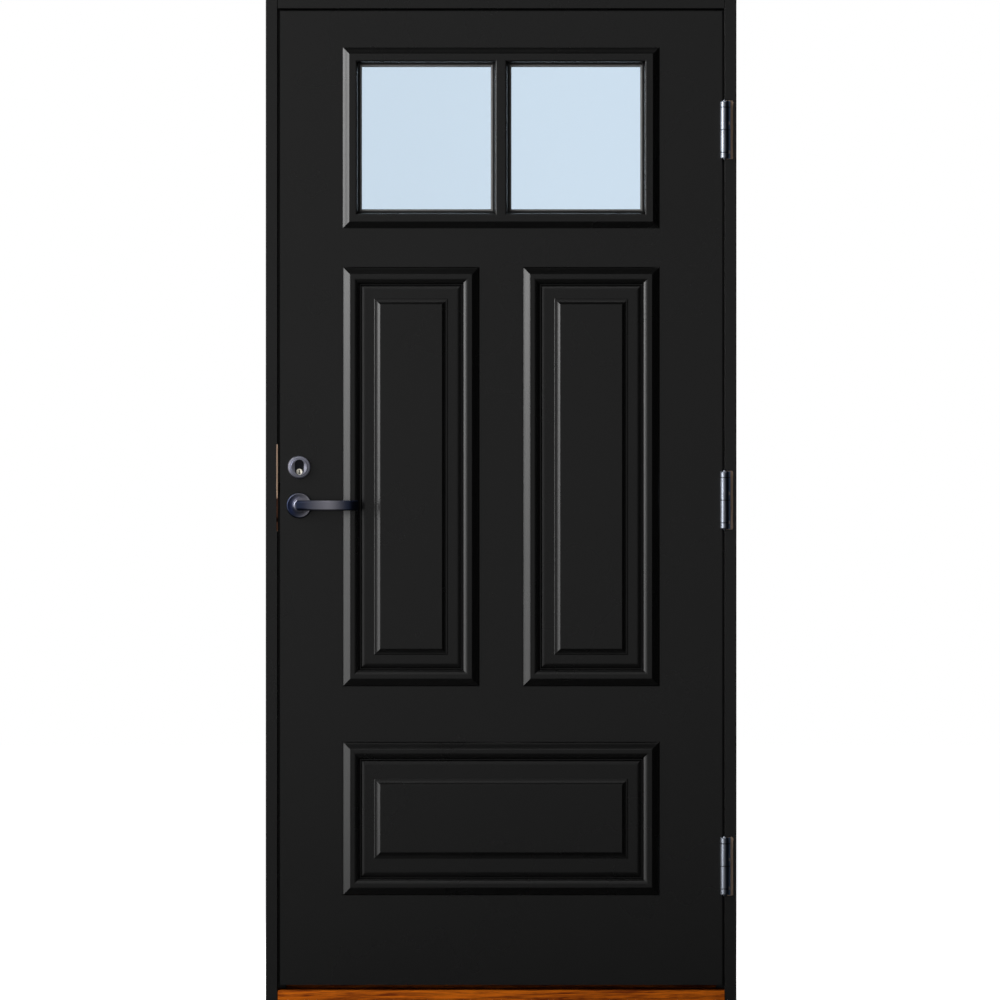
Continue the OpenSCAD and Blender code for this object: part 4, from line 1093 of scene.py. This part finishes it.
class FRONT_DOOR_OT_glass(bpy.types.Operator):
    """Finish the panes, their spacer and the seal of the frame"""

    bl_idname = "front_door.glass"
    bl_label = "Glass"

    def execute(self, context):
        finish = context.scene.front_door_finish
        pane, tree, shader = new_material("clear_glass")
        group = place_group(tree, "sprayed_paint", sprayed_paint_group, Drift=2.5)
        low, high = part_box("outer_pane")
        across = ramp(tree, axis_place(tree, "X"), low.x, high.x)
        drift = math_node(tree, "ADD", across, math_node(tree, "MULTIPLY", group["Gloss"], 0.2))
        clear = tuple(min(1.0, channel * 1.022) for channel in finish.glass)
        tree.links.new(mixed(tree, drift, finish.glass, clear), shader["Base Color"])
        shader["Transmission Weight"].default_value = 1.0
        shader["Roughness"].default_value = 0.0
        shader["IOR"].default_value = 1.5
        dress(pane, "outer_pane", "inner_pane")
        spacer = metal("spacer_metal", finish.spacer, 0.45, (300.0, 300.0, 300.0))
        dress(spacer, "glass_spacer")
        dress(rubber("seal_rubber", finish.rubber, 0.65), "frame_seal")
        return {"FINISHED"}


class FRONT_DOOR_OT_hinges(bpy.types.Operator):
    """Finish the hinges"""

    bl_idname = "front_door.hinges"
    bl_label = "Hinges"

    def execute(self, context):
        for hinge in HINGES:
            dress(hinge_zinc(), f"{hinge}_hinge_frame_leaf", f"{hinge}_hinge_door_leaf")
            dress(lock_steel(), f"{hinge}_hinge_pin")
        dress(hinge_zinc(), "hinge_top_caps", "hinge_bottom_caps")
        return {"FINISHED"}


class FRONT_DOOR_OT_levers(bpy.types.Operator):
    """Sweep the levers"""

    bl_idname = "front_door.levers"
    bl_label = "Levers"

    def execute(self, context):
        shape = context.scene.front_door_shape
        for side in SIDES:
            self.make(shape, side)
        return {"FINISHED"}

    def stations(self, shape):
        """Places along the bar: along the leaf, out of the leaf, heading and stretch of the section."""
        along, out, heading = 0.0, shape.neck_reach - shape.sink, 0.0
        places = [(along, out, heading, 1.0)]
        out += shape.stem + shape.sink
        heading = MITRE_TURN
        places.append((along, out, heading / 2, 1 / math.cos(heading / 2)))
        for radius, bend, steps in ((shape.bow, BOW_TURN, 18), (shape.tip, TIP_TURN, 16)):
            for i in range(1, steps + 1):
                turn = bend * i / steps
                side, ahead = radius * (1 - math.cos(turn)), radius * math.sin(turn)
                places.append((
                    along + side * math.cos(heading) + ahead * math.sin(heading),
                    out - side * math.sin(heading) + ahead * math.cos(heading),
                    heading + turn,
                    1.0,
                ))
            along, out, heading = places[-1][:3]
        return places

    def section(self, shape, along, inset):
        """Outline of the bar drawn in by an inset: a soft rectangle, softest at the stem."""
        high, thick = shape.bar_height / 2 - inset, shape.bar_thick / 2 - inset
        stem = max(0.0, 1 - along / (1.5 * shape.bar_height))
        softer = (shape.bar_thick / 2 - shape.bar_corner) * 0.95 * stem
        least = 0.3 * MM
        corner = max(shape.bar_corner + softer - inset, least)
        outline = []
        for quarter_turn in range(4):
            across = 1 if quarter_turn in (0, 3) else -1
            up = 1 if quarter_turn < 2 else -1
            for i in range(9):
                angle = math.pi / 2 * (quarter_turn + i / 8)
                outline.append((
                    across * (thick - corner) + corner * math.cos(angle),
                    up * (high - corner) + corner * math.sin(angle),
                ))
        return outline

    def make(self, shape, side):
        """One lever: turned neck and swept bar with a rounded tip."""
        face, outward = (FRONT, -1) if side == "outer" else (BACK, 1)
        bm = bmesh.new()
        neck = rounded([
            (0.0, shape.neck_gap), (shape.neck, shape.neck_gap), (shape.neck, shape.neck_reach),
            (0.0, shape.neck_reach),
        ], shape.neck_soft, 5)
        lathe(bm, neck, lambda x, z, out: (LOCK_X + x, face + outward * out, HANDLE_Z + z))
        places = [(*place, 0.0) for place in self.stations(shape)]
        along, out, heading, stretch, _ = places[-1]
        steps = 6
        for i in range(1, steps + 1):
            turn = math.pi / 2 * i / steps
            ahead = shape.tip_soft * math.sin(turn)
            places.append((
                along + ahead * math.sin(heading), out + ahead * math.cos(heading), heading, stretch,
                shape.tip_soft * (1 - math.cos(turn)),
            ))
        rings = []
        for along, out, heading, stretch, inset in places:
            rings.append([
                bm.verts.new((
                    LOCK_X + along + q * stretch * math.cos(heading),
                    face + outward * (out - q * stretch * math.sin(heading)), HANDLE_Z + z,
                ))
                for q, z in self.section(shape, along, inset)
            ])
        for a, b in zip(rings, rings[1:]):
            for i in range(len(a)):
                j = (i + 1) % len(a)
                bm.faces.new((a[i], a[j], b[j], b[i]))
        bm.faces.new(rings[0])
        bm.faces.new(rings[-1])
        corner = rings[1]
        mitre = [bm.edges.get((corner[i - 1], corner[i])) for i in range(len(corner))]
        bm.normal_update()
        for edge in mitre:
            edge.smooth = edge.calc_face_angle(0.0) < MITRE_EDGE
        link(f"{side}_lever_fine", bm, lever_metal(), "handle", f"{side}_lever", slot="satin_metal")


class FRONT_DOOR_OT_rosettes(bpy.types.Operator):
    """Turn the dished rosettes of the levers and of the knob indoors"""

    bl_idname = "front_door.rosettes"
    bl_label = "Rosettes"

    def execute(self, context):
        shape = context.scene.front_door_shape
        for side in SIDES:
            self.make(shape, f"{side}_rosette", shape.neck + shape.running, rosette_metal())
        self.make(shape, "turn_rosette", shape.turn_neck + shape.running, satin_metal())
        return {"FINISHED"}

    def make(self, shape, node, bore, finish):
        """One rosette: soft rim, dished face and a collar round its bore."""
        low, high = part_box(node)
        radius = (high.x - low.x) / 2
        axis_x, axis_z = (low.x + high.x) / 2, (low.z + high.z) / 2
        face, outward = (high.y, -1) if high.y <= FRONT + MM else (low.y, 1)
        top = high.y - low.y
        rim = top - shape.collar
        soft = shape.rim
        turns = [math.pi / 2 * i / 8 for i in range(9)]
        rim_curve = [
            (radius - soft + soft * math.cos(turn), rim - soft + soft * math.sin(turn)) for turn in turns
        ]
        collar = bore + shape.collar
        dish = rim - shape.dish
        profile = [(bore, 0.0), (radius, 0.0)] + rim_curve + rounded([
            rim_curve[-1], (collar + shape.collar_foot, dish), (collar, dish), (collar, top), (bore, top),
            (bore, 0.0),
        ], shape.collar_soft, 4)[1:]
        bm = bmesh.new()
        lathe(bm, profile, lambda x, z, out: (axis_x + x, face + outward * out, axis_z + z))
        bmesh.ops.remove_doubles(bm, verts=bm.verts, dist=0.001 * MM)
        link(f"{node}_fine", bm, finish, "leaf", node, slot="satin_metal")


class FRONT_DOOR_OT_cylinder(bpy.types.Operator):
    """Finish the cylinder, its ring, the key plug and the knob indoors"""

    bl_idname = "front_door.cylinder"
    bl_label = "Cylinder"

    def execute(self, context):
        finish = context.scene.front_door_finish
        dress(satin_metal(), "cylinder_ring", "thumb_turn")
        dress(metal("cylinder_metal", finish.cylinder, 0.3, (500.0, 500.0, 500.0)), "cylinder_body")
        dress(self.brass(finish), "key_plug")
        return {"FINISHED"}

    def brass(self, finish):
        """Pale brass with painted shade inside the keyway."""
        made, tree, shader = new_material("plug_brass")
        stretch = (900.0, 900.0, 200.0)
        group = place_group(tree, "brushed_metal", brushed_metal_group, Stretch=stretch, Gloss=0.5)
        low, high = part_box("key_plug")
        wall, face = 1 * MM, 0.6 * MM
        # Painted shade on the walls of the keyway, behind a thin face
        way = inside_box(tree, low + Vector((wall, face, wall)), high - Vector((wall, 0.0, wall)))
        tree.links.new(mixed(tree, way, finish.brass, finish.keyway), shader["Base Color"])
        shader["Metallic"].default_value = 0.1
        tree.links.new(group["Roughness"], shader["Roughness"])
        return made


class FRONT_DOOR_OT_lock(bpy.types.Operator):
    """Finish the lock, the strike plate and the screws"""

    bl_idname = "front_door.lock"
    bl_label = "Lock and screws"

    def execute(self, context):
        finish = context.scene.front_door_finish
        dress(
            lock_steel(), "lock_case", "latch_bolt", "dead_bolt", "handle_follower", "bolt_follower",
            "spindle", "frame_screws", "leaf_screws", "corner_screws",
        )
        dress(self.strike(finish), "strike_plate")
        return {"FINISHED"}

    def strike(self, finish):
        """Warm zinc, with painted shade below the handle and a dark band near its foot."""
        made, tree, shader = new_material("strike_metal")
        brushed(tree, shader, (400.0, 400.0, 60.0), 0.45)
        up = axis_place(tree, "Z")
        # Painted shade below the handle
        unshaded = ramp(tree, math_node(tree, "SUBTRACT", up, HANDLE_Z), *STRIKE_SHADE)
        # A dark band near the foot of the plate
        above_foot = math_node(tree, "SUBTRACT", up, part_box("strike_plate")[0].z)
        start, end = ramp(tree, above_foot, *DARK_BAND_START), ramp(tree, above_foot, *DARK_BAND_END)
        dark_mark = math_node(tree, "MULTIPLY", start, end)
        painted_light = mixed(tree, unshaded, finish.strike_painted_shade, finish.strike)
        tree.links.new(mixed(tree, dark_mark, painted_light, finish.strike_dark_band), shader["Base Color"])
        return made


class FRONT_DOOR_OT_stage(bpy.types.Operator):
    """Set the floor, the lamps, the background and the camera"""

    bl_idname = "front_door.stage"
    bl_label = "Stage"

    def execute(self, context):
        stage = context.scene.front_door_stage
        self.floor(stage)
        self.world(context.scene, stage)
        self.lamps(stage)
        self.camera(context.scene, stage)
        context.scene.view_settings.view_transform = "Standard"
        return {"FINISHED"}

    def floor(self, stage):
        """Pale floor that is white to the camera apart from a soft shadow."""
        bm = bmesh.new()
        bmesh.ops.create_grid(bm, x_segments=1, y_segments=1, size=30.0)
        mesh = bpy.data.meshes.new("floor")
        bm.to_mesh(mesh)
        bm.free()
        floor = bpy.data.objects.new("floor", mesh)
        bpy.context.scene.collection.objects.link(floor)
        floor.location.z = CAD_BOUNDS[0].z - 1 * MM
        made, tree, shader = new_material("pale_floor")
        shader["Base Color"].default_value = (*stage.floor, 1.0)
        shader["Roughness"].default_value = 0.9
        shader["Specular IOR Level"].default_value = 0.0
        light = add(tree, "ShaderNodeLightPath").outputs
        seen = math_node(tree, "MAXIMUM", light["Is Camera Ray"], light["Is Transmission Ray"])
        place = add(tree, "ShaderNodeTexCoord").outputs["Object"]
        away = add(tree, "ShaderNodeVectorMath", operation="LENGTH")
        tree.links.new(place, away.inputs[0])
        shade_end, shade_start, shade = 2.2, 0.6, 0.10
        near = math_node(tree, "MULTIPLY", ramp(tree, away.outputs["Value"], shade_end, shade_start), shade)
        white = math_node(tree, "MULTIPLY", seen, math_node(tree, "SUBTRACT", 1.0, near))
        dim = math_node(tree, "MULTIPLY", light["Is Glossy Ray"], 0.95)
        glow = add(tree, "ShaderNodeEmission")
        tree.links.new(white, glow.inputs["Strength"])
        dark = add(tree, "ShaderNodeMixShader")
        tree.links.new(dim, dark.inputs["Fac"])
        tree.links.new(tree.nodes["Principled BSDF"].outputs[0], dark.inputs[1])
        both = add(tree, "ShaderNodeAddShader")
        tree.links.new(dark.outputs[0], both.inputs[0])
        tree.links.new(glow.outputs[0], both.inputs[1])
        tree.links.new(both.outputs[0], tree.nodes["Material Output"].inputs["Surface"])
        mesh.materials.append(made)

    def world(self, scene, stage):
        """White behind the door to the camera and through the glass, and a dim room for the light."""
        world = bpy.data.worlds.new("studio")
        world.use_nodes = True
        tree = world.node_tree
        light = add(tree, "ShaderNodeLightPath").outputs
        seen = math_node(tree, "MAXIMUM", light["Is Camera Ray"], light["Is Transmission Ray"])
        level = add(tree, "ShaderNodeMapRange")
        tree.links.new(seen, level.inputs["Value"])
        level.inputs["To Min"].default_value = stage.room
        level.inputs["To Max"].default_value = 1.0
        sky = tree.nodes["Background"]
        sky.inputs["Color"].default_value = (1.0, 1.0, 1.0, 1.0)
        tree.links.new(level.outputs["Result"], sky.inputs["Strength"])
        scene.world = world

    def lamp(self, name, watts, place, aim, size):
        """A soft box that only its light shows, of a width and a height."""
        data = bpy.data.lights.new(name, "AREA")
        data.shape = "RECTANGLE"
        data.size, data.size_y = size
        data.energy = watts
        lamp = bpy.data.objects.new(name, data)
        lamp.location = place
        lamp.rotation_euler = (Vector(aim) - Vector(place)).to_track_quat("-Z", "Y").to_euler()
        lamp.visible_camera = False
        lamp.visible_transmission = False
        bpy.context.scene.collection.objects.link(lamp)

    def lamps(self, stage):
        """Soft boxes at the side, in front and overhead, for each face of the door."""
        left, beside, ahead, over = -3.0, 1.85, 5.0, 0.12
        middle, high_middle = (0.0, 0.0, 1.1), (0.0, 0.0, 1.4)
        for name, turn in (("outer", -1), ("inner", 1)):
            self.lamp(
                f"{name}_key", stage.key, place=(left, turn * beside, 2.8), aim=middle, size=(2.2, 3.2)
            )
            self.lamp(
                f"{name}_low_key", stage.low_key, place=(left, turn * beside, 0.7), aim=(0.0, 0.0, 0.7),
                size=(2.2, 1.2),
            )
            self.lamp(
                f"{name}_fill", stage.fill, place=(turn * 0.6, turn * ahead, 1.9), aim=high_middle,
                size=(4.4, 4.0),
            )
            self.lamp(
                f"{name}_side", stage.side, place=(left, turn * 4.4, 1.6), aim=(0.0, 0.0, 1.2),
                size=(1.4, 3.6),
            )
            self.lamp(
                f"{name}_brow", stage.brow, place=(0.0, turn * ahead, 4.35), aim=high_middle, size=(4.4, 0.6)
            )
            self.lamp(
                f"{name}_top", stage.top, place=(0.0, turn * over, 4.6), aim=(0.0, turn * over, 0.0),
                size=(3.0, 0.24),
            )

    def camera(self, scene, stage):
        """A long lens straight on to the front."""
        data = bpy.data.cameras.new("camera")
        data.lens = stage.lens
        data.clip_end = 100.0
        camera = bpy.data.objects.new("camera", data)
        distance = stage.picture * stage.lens / data.sensor_width
        camera.location = (stage.picture_x, JAMB_FACE - distance, stage.picture_z)
        camera.rotation_euler = (math.radians(90), 0.0, 0.0)
        scene.collection.objects.link(camera)
        scene.camera = camera


class FRONT_DOOR_PT_sidebar(bpy.types.Panel):
    """Settings and pieces of the front door"""

    bl_idname = "FRONT_DOOR_PT_sidebar"
    bl_label = "Front Door"
    bl_space_type = "VIEW_3D"
    bl_region_type = "UI"
    bl_category = "Front Door"

    def draw(self, context):
        scene = context.scene
        for group in (scene.front_door_finish, scene.front_door_shape, scene.front_door_stage):
            column = self.layout.column()
            for name in group.__annotations__:
                column.prop(group, name)
        for piece in PIECES:
            self.layout.operator(piece.bl_idname)


PIECES = (
    FRONT_DOOR_OT_leaf,
    FRONT_DOOR_OT_frame_timbers,
    FRONT_DOOR_OT_threshold,
    FRONT_DOOR_OT_mouldings,
    FRONT_DOOR_OT_panels,
    FRONT_DOOR_OT_window_frames,
    FRONT_DOOR_OT_gaskets,
    FRONT_DOOR_OT_glass,
    FRONT_DOOR_OT_hinges,
    FRONT_DOOR_OT_levers,
    FRONT_DOOR_OT_rosettes,
    FRONT_DOOR_OT_cylinder,
    FRONT_DOOR_OT_lock,
    FRONT_DOOR_OT_stage,
)
CLASSES = (FrontDoorFinish, FrontDoorShape, FrontDoorStage, *PIECES, FRONT_DOOR_PT_sidebar)


def register():
    """Makes the settings, the operators and the panel known to Blender."""
    for made in CLASSES:
        bpy.utils.register_class(made)
    bpy.types.Scene.front_door_finish = PointerProperty(type=FrontDoorFinish)
    bpy.types.Scene.front_door_shape = PointerProperty(type=FrontDoorShape)
    bpy.types.Scene.front_door_stage = PointerProperty(type=FrontDoorStage)


def unregister():
    """Takes them away again."""
    for name in ("front_door_finish", "front_door_shape", "front_door_stage"):
        delattr(bpy.types.Scene, name)
    for made in reversed(CLASSES):
        bpy.utils.unregister_class(made)


def main():
    """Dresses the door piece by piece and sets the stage."""
    register()
    bpy.ops.front_door.leaf()
    bpy.ops.front_door.frame_timbers()
    bpy.ops.front_door.threshold()
    bpy.ops.front_door.mouldings()
    bpy.ops.front_door.panels()
    bpy.ops.front_door.window_frames()
    bpy.ops.front_door.gaskets()
    bpy.ops.front_door.glass()
    bpy.ops.front_door.hinges()
    bpy.ops.front_door.levers()
    bpy.ops.front_door.rosettes()
    bpy.ops.front_door.cylinder()
    bpy.ops.front_door.lock()
    bpy.ops.front_door.stage()


if __name__ == "__main__":
    main()
